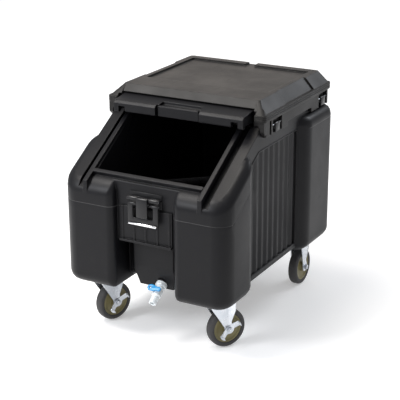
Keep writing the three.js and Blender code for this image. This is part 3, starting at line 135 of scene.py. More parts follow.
# Shader sums: a field is a socket that can be added, taken away, multiplied and mixed
class Field:
    def __init__(self, tree, socket=None):
        self.tree = tree
        self.socket = socket

    def node(self, kind, settings=None, values=None, out=0):
        made = self.tree.nodes.new(kind)
        for name, value in (settings or {}).items():
            setattr(made, name, value)
        for name, value in (values or {}).items():
            if isinstance(value, Field):
                self.tree.links.new(value.socket, made.inputs[name])
            else:
                made.inputs[name].default_value = value
        return Field(self.tree, made.outputs[out])

    def sum(self, operation, first, second):
        return self.node("ShaderNodeMath", {"operation": operation}, {0: first, 1: second})

    def __add__(self, other):
        return self.sum("ADD", self, other)

    def __radd__(self, other):
        return self.sum("ADD", other, self)

    def __sub__(self, other):
        return self.sum("SUBTRACT", self, other)

    def __rsub__(self, other):
        return self.sum("SUBTRACT", other, self)

    def __mul__(self, other):
        return self.sum("MULTIPLY", self, other)

    def __rmul__(self, other):
        return self.sum("MULTIPLY", other, self)

    def ramp(self, low, high):
        return self.node("ShaderNodeMapRange", {"clamp": True},
                         {"Value": self, "From Min": low, "From Max": high,
                          "To Min": 0.0, "To Max": 1.0})

    def mix(self, first, second):
        return self.node("ShaderNodeMix", {"data_type": "RGBA"},
                         {"Factor": self, "A": colour(first), "B": colour(second)}, out="Result")


def colour(value):
    return value if isinstance(value, Field) else (*value, 1)


def startMaterial(name):
    material = bpy.data.materials.new(name)
    material.use_nodes = True
    shader = material.node_tree.nodes["Principled BSDF"]
    field = Field(material.node_tree)
    place = field.node("ShaderNodeTexCoord", out="Object")
    return material, shader, field, place


def connect(material, shader, **values):
    for name, value in values.items():
        socket = shader.inputs[name.replace("_", " ")]
        if isinstance(value, Field):
            material.node_tree.links.new(value.socket, socket)
        else:
            socket.default_value = value


def noise(field, place, scale, detail=3.0, rough=0.5):
    return field.node("ShaderNodeTexNoise", None,
                      {"Vector": place, "Scale": scale, "Detail": detail, "Roughness": rough})


# Each pattern: scale, detail and roughness of its noise, and the values that become 0 and 1
patterns = {
    "floorMottle": (3.0, 3.0, 0.50, 0.30, 0.70),
    "cloud": (7.0, 4.0, 0.60, 0.35, 0.75),
    "patch": (38.0, 5.0, 0.65, 0.55, 0.80),
    "scratch": (3.0, 4.0, 0.50, 0.62, 0.74),
    "plateCloud": (30.0, 4.0, 0.60, 0.35, 0.75),
    "dust": (55.0, 5.0, 0.65, 0.45, 0.75),
    "speck": (700.0, 2.0, 0.50, 0.50, 0.80),
    "hubSwirl": (26.0, 5.0, 0.60, 0.35, 0.70),
    "tapSwirl": (60.0, 4.0, 0.60, 0.35, 0.75),
}


def pattern(field, place, name):
    scale, detail, rough, low, high = patterns[name]
    return noise(field, place, scale, detail, rough).ramp(low, high)


def along(field, first, second):  # how far the first reaches along the second, 1 for two equal directions
    return field.node("ShaderNodeVectorMath", {"operation": "DOT_PRODUCT"}, {0: first, 1: second}, out="Value")


def edgeMask(field, soft, low, high):  # near 1 on rounded edges and 0 on the flats
    hard = field.node("ShaderNodeNewGeometry", out="Normal")
    return (1 - along(field, soft, hard)).ramp(low, high)


def bumped(field, height, strength, distance, **more):
    return field.node("ShaderNodeBump", None,
                      {"Height": height, "Strength": strength, "Distance": distance, **more})


# Painted shade in recesses, a black diffuse mixed in by ambient occlusion: how far off a wall shades, and the
# hidden shares that become 0 and 1
paintedRecessShade = {"reach": 0.09, "samples": 8, "span": (0.30, 0.85), "colour": (0.001, 0.001, 0.001)}


def recessShadeMask(field):  # 1 deep in a piece's own recesses and 0 on its open faces: the mask of the painted shade
    light = field.node("ShaderNodeAmbientOcclusion", {"samples": paintedRecessShade["samples"], "only_local": True},
                       {"Distance": paintedRecessShade["reach"]}, out="AO")
    return (1 - light).ramp(*paintedRecessShade["span"])


def withPaintedShade(material, shader, field, share):  # mixes a black diffuse into a piece's recesses as painted shade
    tree = material.node_tree
    shadeBlack = field.node("ShaderNodeBsdfDiffuse", None, {"Color": colour(paintedRecessShade["colour"])}, out="BSDF")
    mixed = tree.nodes.new("ShaderNodeMixShader")
    tree.links.new(share.socket, mixed.inputs[0])
    tree.links.new(shader.outputs[0], mixed.inputs[1])
    tree.links.new(shadeBlack.socket, mixed.inputs[2])
    tree.links.new(mixed.outputs[0], tree.nodes["Material Output"].inputs["Surface"])


def floorMaterial():
    material, shader, field, place = startMaterial("floorPaint")
    shade = studio["floorColour"]
    pale = [min(1, studio["floorPale"] * part) for part in shade]
    tone = pattern(field, place, "floorMottle").mix(shade, pale)
    glow = along(field, place, studio["away"]).ramp(*studio["farSpan"]).mix((1, 1, 1), studio["farGlow"])
    connect(material, shader, Base_Color=tone, Roughness=studio["floorRough"], Emission_Color=glow,
            Emission_Strength=studio["floorGlow"])
    return material


# Moulded polyethylene of the tub, the lid and the cover, and the nylon of the latch and clips
# Each moulding's recesses are painted towards black by its share of painted shade
mouldings = {
    "shell": {"base": (0.0062, 0.0062, 0.0074), "edgeSheenAndWear": (0.046, 0.044, 0.043),
              "scuff": (0.017, 0.0165, 0.0165),
              "rough": 0.42, "roughSpread": 0.10, "grain": 620, "grainDepth": 0.00018, "wearAndSheen": 0.0032,
              "paintedShade": 0.95, "shine": 0.165},
    "cover": {"base": (0.0115, 0.0110, 0.0108), "edgeSheenAndWear": (0.055, 0.052, 0.049), "scuff": (0.026, 0.024, 0.022),
              "rough": 0.47, "roughSpread": 0.12, "grain": 480, "grainDepth": 0.00026, "wearAndSheen": 0.0028,
              "paintedShade": 0.8, "shine": 0.21},
    # The seam beads are painted far paler than the shell: a painted highlight along the parting line
    "seamSheen": {"base": (0.0420, 0.0410, 0.0420), "edgeSheenAndWear": (0.080, 0.078, 0.078), "scuff": (0.055, 0.054, 0.054),
             "rough": 0.34, "roughSpread": 0.08, "grain": 620, "grainDepth": 0.00010, "wearAndSheen": 0.0006,
             "paintedShade": 0.2, "shine": 0.30},
    "nylon": {"base": (0.0080, 0.0080, 0.0090), "edgeSheenAndWear": (0.040, 0.040, 0.042), "scuff": (0.014, 0.014, 0.015),
              "rough": 0.32, "roughSpread": 0.08, "grain": 900, "grainDepth": 0.00008, "wearAndSheen": 0.0012,
              "paintedShade": 0.5, "shine": 0.28},
}

# How strongly clouds, patches, scratches and the lightened edges show on all the mouldings; the lightened edges
# are painted highlight and wear
wearAndSheen = {
    "drawn": (60.0, 4.0, 14.0), "grainDetail": 2.0, "samples": 6, "edgeSpan": (0.01, 0.16),
    "edgeLeast": 0.55, "edgePatch": 0.45, "cloudScuff": 0.6, "scratchScuff": 0.15, "edgeTone": 0.75,
    "cloudMiddle": 0.5, "scratchRough": 0.06, "edgeGloss": 0.08, "scratchRelief": 0.6, "relief": 0.35,
}


def mouldedMaterial(name):
    look = mouldings[name]
    material, shader, field, place = startMaterial(name + "Plastic")
    cloud = pattern(field, place, "cloud")
    patch = pattern(field, place, "patch")
    drawn = field.node("ShaderNodeMapping", None, {"Vector": place, "Scale": wearAndSheen["drawn"]})
    scratch = pattern(field, drawn, "scratch")
    grain = noise(field, place, look["grain"], wearAndSheen["grainDetail"])
    soft = field.node("ShaderNodeBevel", {"samples": wearAndSheen["samples"]}, {"Radius": look["wearAndSheen"]})
    edge = edgeMask(field, soft, *wearAndSheen["edgeSpan"]) * (wearAndSheen["edgeLeast"] + wearAndSheen["edgePatch"] * patch)
    scuff = wearAndSheen["cloudScuff"] * cloud * patch + wearAndSheen["scratchScuff"] * scratch
    # Rounded edges are lightened toward the pale edge colour: painted highlight and wear
    tone = (wearAndSheen["edgeTone"] * edge).mix(scuff.mix(look["base"], look["scuff"]), look["edgeSheenAndWear"])
    gloss = (look["rough"] + look["roughSpread"] * (cloud - wearAndSheen["cloudMiddle"])
             + wearAndSheen["scratchRough"] * scratch - wearAndSheen["edgeGloss"] * edge)
    height = grain + wearAndSheen["scratchRelief"] * scratch
    relief = bumped(field, height, wearAndSheen["relief"], look["grainDepth"], Normal=soft)
    connect(material, shader, Base_Color=tone, Roughness=gloss, Normal=relief)
    shader.inputs["Specular IOR Level"].default_value = look["shine"]
    # Recesses mixed toward black: painted shade
    withPaintedShade(material, shader, field, look["paintedShade"] * recessShadeMask(field))
    return material


# Bright zinc plate of the casters, with a faint spangle, and the chromed pull bar
metals = {
    "zinc": {"base": (0.70, 0.72, 0.75), "dull": (0.44, 0.49, 0.56),
             "rough": 0.20, "spangle": 420, "dent": 0.00016},
    "chrome": {"base": (0.88, 0.88, 0.90), "dull": (0.70, 0.71, 0.74),
               "rough": 0.10, "spangle": 90, "dent": 0.00004},
}
plating = {"flakeTone": 0.10, "cloudTone": 0.50, "flakeRough": 0.04, "cloudRough": 0.14,
           "dents": 140.0, "relief": 0.3}


def metalMaterial(name):
    look = metals[name]
    material, shader, field, place = startMaterial(name + "Plate")
    flake = field.node("ShaderNodeTexVoronoi", None, {"Vector": place, "Scale": look["spangle"]}, out="Color")
    flake = field.node("ShaderNodeSeparateColor", None, {"Color": flake})
    cloud = pattern(field, place, "plateCloud")
    tone = (plating["flakeTone"] * flake + plating["cloudTone"] * cloud).mix(look["base"], look["dull"])
    gloss = look["rough"] + plating["flakeRough"] * flake + plating["cloudRough"] * cloud
    relief = bumped(field, noise(field, place, plating["dents"]), plating["relief"], look["dent"])
    connect(material, shader, Base_Color=tone, Roughness=gloss, Normal=relief, Metallic=1.0)
    return material


# Dusty rubber of the tyres
tyreLook = {
    "base": (0.027, 0.026, 0.027), "dust": (0.062, 0.058, 0.055), "rough": 0.60,
    "dustTone": 0.6, "speckTone": 0.2, "dustRough": 0.15, "grain": 420.0, "relief": 0.4, "grainDepth": 0.0002,
}


def tyreMaterial():
    material, shader, field, place = startMaterial("tyreRubber")
    dust = pattern(field, place, "dust")
    speck = pattern(field, place, "speck")
    tone = (tyreLook["dustTone"] * dust + tyreLook["speckTone"] * speck).mix(tyreLook["base"], tyreLook["dust"])
    gloss = tyreLook["rough"] + tyreLook["dustRough"] * dust
    relief = bumped(field, noise(field, place, tyreLook["grain"]), tyreLook["relief"], tyreLook["grainDepth"])
    connect(material, shader, Base_Color=tone, Roughness=gloss, Normal=relief)
    return material


# Olive plastic of the wheel hubs, paler on its edges as painted highlight and wear
hubLook = {
    "base": (0.150, 0.128, 0.052), "pale": (0.270, 0.240, 0.115), "rough": 0.40,
    "wearAndSheen": 0.0016, "samples": 4, "edgeSpan": (0.01, 0.14), "swirlTone": 0.35, "edgeTone": 0.7,
    "swirlRough": 0.1, "grain": 380.0, "relief": 0.25, "grainDepth": 0.0002,
}


def hubMaterial():
    material, shader, field, place = startMaterial("hubPlastic")
    swirl = pattern(field, place, "hubSwirl")
    soft = field.node("ShaderNodeBevel", {"samples": hubLook["samples"]}, {"Radius": hubLook["wearAndSheen"]})
    edge = edgeMask(field, soft, *hubLook["edgeSpan"])
    tone = (hubLook["swirlTone"] * swirl).mix(hubLook["base"], hubLook["pale"])
    # Edges paled toward the pale tone: painted highlight and wear
    tone = (hubLook["edgeTone"] * edge).mix(tone, hubLook["pale"])
    gloss = hubLook["rough"] + hubLook["swirlRough"] * swirl
    relief = bumped(field, noise(field, place, hubLook["grain"]), hubLook["relief"], hubLook["grainDepth"])
    connect(material, shader, Base_Color=tone, Roughness=gloss, Normal=relief)
    return material


# White and blue plastic of the tap, and its black gasket
tapLooks = {
    "tap": {"name": "tapPlastic", "base": (0.72, 0.76, 0.78), "shade": (0.62, 0.67, 0.70), "rough": 0.28},
    "tap_lever": {"name": "leverPlastic", "base": (0.002, 0.290, 0.640), "shade": (0.002, 0.235, 0.560),
                  "rough": 0.30},
    "gasket": {"name": "gasketRubber", "base": (0.012, 0.012, 0.013), "shade": (0.020, 0.020, 0.021),
               "rough": 0.60},
}
tapSkin = {"swirlTone": 0.5, "swirlRough": 0.08, "grain": 500.0, "grainDetail": 2.0,
           "relief": 0.2, "grainDepth": 0.00015}


def tapMaterial(look):
    material, shader, field, place = startMaterial(look["name"])
    swirl = pattern(field, place, "tapSwirl")
    tone = (tapSkin["swirlTone"] * swirl).mix(look["base"], look["shade"])
    gloss = look["rough"] + tapSkin["swirlRough"] * swirl
    grain = noise(field, place, tapSkin["grain"], tapSkin["grainDetail"])
    relief = bumped(field, grain, tapSkin["relief"], tapSkin["grainDepth"])
    connect(material, shader, Base_Color=tone, Roughness=gloss, Normal=relief)
    return material


makeStudio()
materials = {slot: mouldedMaterial(slot) for slot in mouldings}
materials.update({slot: metalMaterial(slot) for slot in metals})
materials.update({slot: tapMaterial(look) for slot, look in tapLooks.items()})
materials.update({"rubber": tyreMaterial(), "hub": hubMaterial()})
slotOf = {row["node"]: row["material_slot"] for row in frame["record"]["subparts"]}
print("studio and materials made")


# Distances in metres that count as none, and the bend in degrees that counts as flat
near = {"doubles": 0.00001, "packedDoubles": 0.00002, "cut": 0.000005, "onLine": 0.00003,
        "inGroove": 0.00002, "pastFold": 0.0001, "flat": 0.6}
evening = {"angle": 35, "weight": 60}


# Small helpers: what is selected, and work in edit mode
def selectOnly(*pieces):
    bpy.ops.object.select_all(action="DESELECT")
    for piece in pieces:
        piece.select_set(True)
    bpy.context.view_layer.objects.active = pieces[0]


def openEdit(piece):
    selectOnly(piece)
    bpy.ops.object.mode_set(mode="EDIT")
    bpy.ops.mesh.select_mode(type="FACE")
    bpy.ops.mesh.select_all(action="DESELECT")


def closeEdit():
    bpy.ops.object.mode_set(mode="OBJECT")


def pickFaces(piece, test):  # selects the faces whose middle and normal pass the test
    shape = bmesh.from_edit_mesh(piece.data)
    for face in shape.faces:
        face.select_set(bool(test(face.calc_center_median(), face.normal)))
    bmesh.update_edit_mesh(piece.data)


def pickEdges(piece, test):
    bpy.ops.mesh.select_mode(type="EDGE")
    shape = bmesh.from_edit_mesh(piece.data)
    for edge in shape.edges:
        edge.select_set(bool(test(edge)))
    bmesh.update_edit_mesh(piece.data)


def pickVerts(piece, test):
    bpy.ops.mesh.select_mode(type="VERT")
    bpy.ops.mesh.select_all(action="DESELECT")
    shape = bmesh.from_edit_mesh(piece.data)
    for vert in shape.verts:
        vert.select_set(bool(test(vert.co)))
    shape.select_flush_mode()
    bmesh.update_edit_mesh(piece.data)


def turnPart(piece, test, degrees, axis, centre):  # with no window, transform.rotate turns the other way
    pickVerts(piece, test)
    bpy.ops.transform.rotate(value=-math.radians(degrees), orient_axis=axis, center_override=centre)


def rounded(piece, width, segments, angle):  # the angle is the least bend that counts as an edge
    bevel = piece.modifiers.new("rounding", "BEVEL")
    bevel.width = width
    bevel.segments = segments
    bevel.limit_method = "ANGLE"
    bevel.angle_limit = math.radians(angle)
    bpy.context.view_layer.objects.active = piece
    bpy.ops.object.modifier_apply(modifier="rounding")


def smoothed(piece, angle):
    selectOnly(piece)
    bpy.ops.object.shade_smooth_by_angle(angle=math.radians(angle))


def evened(piece, flat=None):  # big faces set the normals at their rims, so flats stay flat beside fillets
    smoothed(piece, evening["angle"])
    even = piece.modifiers.new("evening", "WEIGHTED_NORMAL")
    even.keep_sharp = True
    even.weight = evening["weight"]
    if flat:
        group = piece.vertex_groups.new(name="flats")
        group.add([vert.index for vert in piece.data.vertices if flat(vert.co)], 1.0, "REPLACE")
        even.vertex_group = "flats"
    bpy.context.view_layer.objects.active = piece
    bpy.ops.object.modifier_apply(modifier="evening")
    piece.vertex_groups.clear()


def settled(piece, slot, body, *replaced, look=None):  # gives a finished piece its material and its body
    piece.data.materials.clear()
    piece.data.materials.append(materials[look or slot])
    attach(piece, body)
    if replaced:
        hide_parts(*replaced)


# A turned piece: one circle drawn out ring by ring along +Z and back to its start, in edit mode
def turnedPiece(name, rings, steps):
    radius, height = rings[0]
    bpy.ops.object.select_all(action="DESELECT")
    bpy.ops.mesh.primitive_circle_add(vertices=steps, radius=radius)
    piece = bpy.context.object
    piece.name = name
    bpy.ops.object.mode_set(mode="EDIT")
    bpy.ops.mesh.select_mode(type="VERT")
    bpy.ops.mesh.select_all(action="SELECT")
    bpy.ops.transform.translate(value=(0, 0, height))
    for nextRadius, nextHeight in rings[1:] + rings[:1]:
        bpy.ops.mesh.extrude_edges_move(TRANSFORM_OT_translate={"value": (0, 0, nextHeight - height)})
        share = nextRadius / radius
        bpy.ops.transform.resize(value=(share, share, 1), center_override=(0, 0, 0))
        radius, height = nextRadius, nextHeight
    bpy.ops.mesh.select_all(action="SELECT")
    bpy.ops.mesh.remove_doubles(threshold=near["doubles"])
    bpy.ops.mesh.select_all(action="SELECT")
    bpy.ops.mesh.normals_make_consistent(inside=False)
    closeEdit()
    return piece


def mirrored(half):  # a profile and its reflection across the middle of the wheel
    return [(radius, -height) for radius, height in half] + list(reversed(half))


def stood(piece, place, axis, spin=0.0):  # turns a piece that was made along +Z, and moves it to its place
    lean = Vector(axis).to_track_quat("Z", "Y").to_matrix().to_4x4()
    piece.data.transform(Matrix.Translation(place) @ lean @ Matrix.Rotation(math.radians(spin), 4, "Z"))
    piece.data.update()
    return piece


def copied(piece, name):
    other = piece.copy()
    other.data = piece.data.copy()
    other.name = name
    bpy.context.scene.collection.objects.link(other)
    return other


def mergedCopy(node, name):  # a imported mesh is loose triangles, so its copy is merged first
    piece = bpy.data.objects.new(name, nodes[node].data.copy())
    bpy.context.scene.collection.objects.link(piece)
    openEdit(piece)
    bpy.ops.mesh.select_all(action="SELECT")
    bpy.ops.mesh.remove_doubles(threshold=near["packedDoubles"])
    bpy.ops.mesh.dissolve_limited(angle_limit=math.radians(near["flat"]))
    closeEdit()
    return piece


# Wheels: a tyre with round shoulders on a dished hub, one of each, copied to the four axles
wheel = {
    "steps": 96, "smooth": 35,
    "tyre": [(0.0473, 0.0134), (0.0482, 0.0148), (0.0505, 0.0156), (0.0535, 0.0159), (0.0541, 0.0155),
             (0.0547, 0.0158), (0.0578, 0.0153), (0.0603, 0.0138), (0.0620, 0.0116), (0.0630, 0.0086),
             (0.0634, 0.0046), (0.0635, 0.0010)],
    "hub": [(0.0094, 0.0168), (0.0148, 0.0170), (0.0160, 0.0164), (0.0166, 0.0120), (0.0182, 0.0092),
            (0.0230, 0.0080), (0.0320, 0.0084), (0.0390, 0.0102), (0.0418, 0.0122), (0.0424, 0.0134),
            (0.0432, 0.0138), (0.0462, 0.0138), (0.0470, 0.0130)],
}


def makeWheels():
    tyre = turnedPiece("tyre", mirrored(wheel["tyre"]), wheel["steps"])
    hub = turnedPiece("hub", mirrored(wheel["hub"]), wheel["steps"])
    for place in ("front_left", "front_right", "rear_left", "rear_right"):
        spin = joints["wheel_spin_" + place]
        for model, kind, slot in ((tyre, "wheel_tyre_", "rubber"), (hub, "wheel_hub_", "hub")):
            piece = stood(copied(model, kind + place + "_form"), spin["pos_m"], spin["axis"])
            smoothed(piece, wheel["smooth"])
            settled(piece, slot, "wheel_" + place, kind + place)
    bpy.data.objects.remove(tyre)
    bpy.data.objects.remove(hub)


makeWheels()
print("wheels turned")


# Front forks: each leg is folded along an upright line near the axle, so that its two halves lean in
# Brake levers: both ends are bent. Edges are a width, its segments and the least angle
fork = {"fold": 0.032, "ridge": 0.0225, "legInner": 0.0190, "leanFront": 6.0, "leanRear": 12.0,
        "edges": (0.0008, 2, 25), "smooth": 20}
brake = {"angle": 34.0, "bend": 0.017, "bendSide": 0.0250, "flare": 24.0,
         "edges": (0.0008, 2, 25), "smooth": 30}


def swivelPlace(side):
    centre = Vector(joints["caster_swivel_" + side]["pos_m"])
    axle = joints["wheel_spin_front_" + side]
    turn = math.atan2(axle["axis"][1], axle["axis"][0])
    return Matrix.Translation((centre.x, centre.y, 0)) @ Matrix.Rotation(turn, 4, "Z")


def makeFrontFork(side):
    node = "caster_fork_front_" + side
    place = swivelPlace(side)
    piece = mergedCopy(node, node + "_form")
    piece.data.transform(place.inverted())
    openEdit(piece)
    bpy.ops.mesh.select_all(action="SELECT")
    bpy.ops.mesh.bisect(plane_co=(0, fork["fold"], 0), plane_no=(0, 1, 0))
    for leg in (-1, 1):
        centre = (leg * fork["ridge"], fork["fold"], 0)
        for half, lean in ((-1, fork["leanFront"]), (1, fork["leanRear"])):
            turnPart(piece, lambda spot: leg * spot.x > fork["legInner"]
                     and half * (spot.y - fork["fold"]) > near["pastFold"], -leg * half * lean, "Z", centre)
    closeEdit()
    piece.data.transform(place)
    rounded(piece, *fork["edges"])
    smoothed(piece, fork["smooth"])
    settled(piece, "zinc", bodyOf[node], node)


def makeBrake(side):
    node = "brake_lever_front_" + side
    axle = joints["wheel_spin_front_" + side]
    place = (Matrix.Translation(axle["pos_m"]) @ swivelPlace(side).to_3x3().to_4x4()
             @ Matrix.Rotation(math.radians(brake["angle"]), 4, "X"))
    piece = mergedCopy(node, node + "_form")
    piece.data.transform(place.inverted())
    openEdit(piece)
    for end in (-1, 1):
        bpy.ops.mesh.select_all(action="SELECT")
        bpy.ops.mesh.bisect(plane_co=(0, end * brake["bend"], 0), plane_no=(0, 1, 0))
    for end in (-1, 1):
        turnPart(piece, lambda spot: end * spot.y > brake["bend"] + near["pastFold"],
                 -end * brake["flare"], "Z", (brake["bendSide"], end * brake["bend"], 0))
    closeEdit()
    piece.data.transform(place)
    rounded(piece, *brake["edges"])
    smoothed(piece, brake["smooth"])
    settled(piece, "zinc", bodyOf[node], node)


for side in sides:
    makeFrontFork(side)
    makeBrake(side)
print("front forks and brakes shaped")


# Drain tap: round body with an eight-sided collar, drawn out along the drain's axis
tap = {
    "seat": (0.0220, -0.31515, 0.18694),
    "angle": 36.0,
    "steps": 64, "smooth": 35,
    "collarSteps": 8, "collarTurn": 22.5, "collarEdges": (0.0006, 2, 20), "collarSmooth": 30,
    "body": [(0.0075, -0.0580), (0.0110, -0.0580), (0.0110, 0.0032), (0.0172, 0.0032), (0.0178, 0.0042),
             (0.0142, 0.0150), (0.0142, 0.0190), (0.0150, 0.0200), (0.0155, 0.0215), (0.0155, 0.0235),
             (0.0148, 0.0245), (0.0148, 0.0300), (0.0153, 0.0320), (0.0155, 0.0370), (0.0153, 0.0420),
             (0.0148, 0.0455), (0.0155, 0.0465), (0.0155, 0.0500), (0.0146, 0.0518), (0.0116, 0.0540),
             (0.0112, 0.0570), (0.0120, 0.0585), (0.0120, 0.0610), (0.0113, 0.0618), (0.0113, 0.0632),
             (0.0120, 0.0640), (0.0120, 0.0665), (0.0113, 0.0673), (0.0113, 0.0687), (0.0120, 0.0695),
             (0.0120, 0.0790), (0.0113, 0.0800), (0.0088, 0.0800), (0.0075, 0.0788), (0.0075, 0.0486),
             (0.0114, 0.0470), (0.0114, 0.0270), (0.0075, 0.0254)],
    "collar": [(0.0112, 0.0045), (0.0180, 0.0045), (0.0185, 0.0055), (0.0185, 0.0150), (0.0178, 0.0162),
               (0.0143, 0.0166), (0.0112, 0.0166)],
}


def tapAxis():
    angle = math.radians(tap["angle"])
    return (0, -math.cos(angle), -math.sin(angle))


def makeTap():
    body = stood(turnedPiece("tap_body_form", tap["body"], tap["steps"]), tap["seat"], tapAxis())
    smoothed(body, tap["smooth"])
    settled(body, "tap", bodyOf["tap_body"], "tap_body")
    collar = turnedPiece("tap_collar", tap["collar"], tap["collarSteps"])
    stood(collar, tap["seat"], tapAxis(), tap["collarTurn"])
    rounded(collar, *tap["collarEdges"])
    smoothed(collar, tap["collarSmooth"])
    settled(collar, "tap", bodyOf["tap_body"])


makeTap()
print("tap turned")


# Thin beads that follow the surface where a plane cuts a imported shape
beads = {
    "radius": 0.0013, "coverHeights": (0.7118, 0.7060), "frameHeight": 0.6990, "segments": 1, "smooth": 60,
    "sideFrom": 0.268, "rearFrom": 0.360, "mouthSide": 0.246, "mouthFrom": -0.12,
}


def beadAlong(name, node, cuts, radius, slot, look=None, split=None, inward=(1, 1, 1)):
    made = []  # each cut is a point, a normal and a test of an edge's middle
    for index, (point, normal, test) in enumerate(cuts):
        piece = mergedCopy(node, name + str(index))
        openEdit(piece)
        bpy.ops.mesh.select_all(action="SELECT")
        bpy.ops.mesh.bisect(plane_co=point, plane_no=normal, threshold=near["cut"])
        flat = Vector(normal).normalized()
        if split:
            bpy.ops.mesh.select_all(action="SELECT")
            bpy.ops.mesh.bisect(plane_co=split, plane_no=(0, 1, 0), threshold=near["cut"])
        pickEdges(piece, lambda edge: not (
            all(abs((vert.co - Vector(point)).dot(flat)) < near["onLine"] for vert in edge.verts)
            and test((edge.verts[0].co + edge.verts[1].co) / 2)))
        bpy.ops.mesh.delete(type="EDGE")
        bpy.ops.mesh.select_mode(type="VERT")
        bpy.ops.mesh.select_all(action="SELECT")
        bpy.ops.transform.resize(value=inward, center_override=(0, 0, 0))
        closeEdit()
        selectOnly(piece)
        bpy.ops.object.convert(target="CURVE")
        piece = bpy.context.object
        piece.data.dimensions = "3D"
        piece.data.bevel_depth = radius
        piece.data.bevel_resolution = beads["segments"]
        piece.data.use_fill_caps = True
        bpy.ops.object.convert(target="MESH")
        made.append(bpy.context.object)
    selectOnly(*made)
    if len(made) > 1:
        bpy.ops.object.join()
    piece = bpy.context.object
    piece.name = name
    smoothed(piece, beads["smooth"])
    settled(piece, slot, bodyOf[node], look=look)


def outside(middle):  # on the outer walls, and not round the lid's bay
    beside = abs(middle.x) > beads["mouthSide"] and middle.y < beads["mouthFrom"]
    return abs(middle.x) > beads["sideFrom"] or middle.y > beads["rearFrom"] or beside


def makeFlangeBeads():
    for index, height in enumerate(beads["coverHeights"]):
        beadAlong(f"flange_bead_{index}", "cover_top", [((0, 0, height), (0, 0, 1), outside)],
                  beads["radius"], "cover")
    beadAlong("frame_bead", "cover_frame", [((0, 0, beads["frameHeight"]), (0, 0, 1), outside)],
              beads["radius"], "cover")


makeFlangeBeads()
print("beads laid")


# Hand grip of the lid: a flattened roll along the lip and three ridges on the floor of the scoop
# Each row is its place along Y, its height and its radius. Its ends are rounded by a share of the radius
grip = {"length": 0.1400, "steps": 20, "flat": 0.6,
        "roundShare": 0.35, "segments": 3, "angle": 60, "smooth": 50,
        "rows": [(-0.1655, 0.7106, 0.0040), (-0.1525, 0.7046, 0.0015), (-0.1475, 0.7064, 0.0015),
                 (-0.1425, 0.7083, 0.0015)]}


def makeGrip():
    rolls = []
    for along, height, radius in grip["rows"]:
        bpy.ops.object.select_all(action="DESELECT")
        bpy.ops.mesh.primitive_cylinder_add(vertices=grip["steps"], radius=radius, depth=grip["length"],
                                            location=(0, along, height), rotation=(0, math.pi / 2, 0))
        roll = bpy.context.object
        bpy.ops.object.transform_apply(location=True, rotation=True, scale=True)
        bpy.ops.object.mode_set(mode="EDIT")
        bpy.ops.mesh.select_all(action="SELECT")
        bpy.ops.transform.resize(value=(1, 1, grip["flat"]), center_override=(0, along, height))
        closeEdit()
        rounded(roll, grip["roundShare"] * radius, grip["segments"], grip["angle"])
        rolls.append(roll)
    selectOnly(*rolls)
    bpy.ops.object.join()
    piece = bpy.context.object
    piece.name = "grip_ridges"
    smoothed(piece, grip["smooth"])
    settled(piece, slotOf["sliding_lid"], bodyOf["sliding_lid"])


makeGrip()
print("grip ridges made")


# Raised border round each fluted panel: a sheet with its front corner cut off, inset, opened and drawn out
border = {
    "front": -0.1990, "rear": 0.1515, "floor": 0.2000, "top": 0.6025,
    "cut": (-0.1990, 0.5650), "slope": 29.0,
    "width": 0.0052, "wall": 0.2612, "rise": 0.0022, "edges": (0.0006, 2, 40), "smooth": 40,
}


def makeBorder(side):
    turn = sides[side]
    middle = (turn * border["wall"], (border["front"] + border["rear"]) / 2,
              (border["floor"] + border["top"]) / 2)
    bpy.ops.object.select_all(action="DESELECT")
    bpy.ops.mesh.primitive_plane_add(size=1, location=middle, rotation=(0, math.pi / 2, 0))
    piece = bpy.context.object
    piece.name = "panel_border_" + side
    bpy.ops.object.transform_apply(location=True, rotation=True, scale=True)
    bpy.ops.object.mode_set(mode="EDIT")
    bpy.ops.mesh.select_all(action="SELECT")
    bpy.ops.transform.resize(value=(1, border["rear"] - border["front"], border["top"] - border["floor"]),
                             center_override=middle)
    slope = math.radians(border["slope"])
    bpy.ops.mesh.bisect(plane_co=(0, *border["cut"]), plane_no=(0, -math.sin(slope), math.cos(slope)),
                        clear_outer=True)
    bpy.ops.mesh.select_mode(type="FACE")
    bpy.ops.mesh.select_all(action="SELECT")
    bpy.ops.mesh.inset(thickness=border["width"])
    bpy.ops.mesh.delete(type="FACE")
    bpy.ops.mesh.select_all(action="SELECT")
    bpy.ops.mesh.extrude_region_move(TRANSFORM_OT_translate={"value": (turn * border["rise"], 0, 0)})
    bpy.ops.mesh.select_all(action="SELECT")
    bpy.ops.mesh.normals_make_consistent(inside=False)
    closeEdit()
    rounded(piece, *border["edges"])
    smoothed(piece, border["smooth"])
    settled(piece, "shell", bodyOf["tub"])


for side in sides:
    makeBorder(side)
print("panel borders made")


# The tub: its edges longer than "shortest" are rounded, and a parting line is pressed in round the columns
shell = {
    "round": 0.0016, "segments": 2, "angle": 32, "shortest": 0.012,
    "groove": 0.0020, "depth": 0.0010, "bead": 0.0014, "inward": (0.9951, 0.9964, 1),
    "upright": 0.5, "reach": 0.2640, "side": 0.2400,
    "frontLine": 0.4400, "corner": -0.3600, "slope": 31.0, "frontEnd": -0.2400,
    "rearLine": 0.5980, "rearStart": 0.1900, "rearFace": 0.3860,
    "splits": [((0.0004, 0, 0), (1, 0, 0)), ((0, -0.3004, 0), (0, 1, 0)), ((0, 0.0204, 0), (0, 1, 0)),
               ((0, 0, 0.4004), (0, 0, 1))],
    "shoulder": ((0.2500, 0.2740), (-0.3850, -0.3450), (0.5050, 0.5350)), "ease": 0.5, "easeTimes": 6,
    "flutes": ((0.2480, 0.2626), (-0.1930, 0.1450), (0.2060, 0.5960)),
}


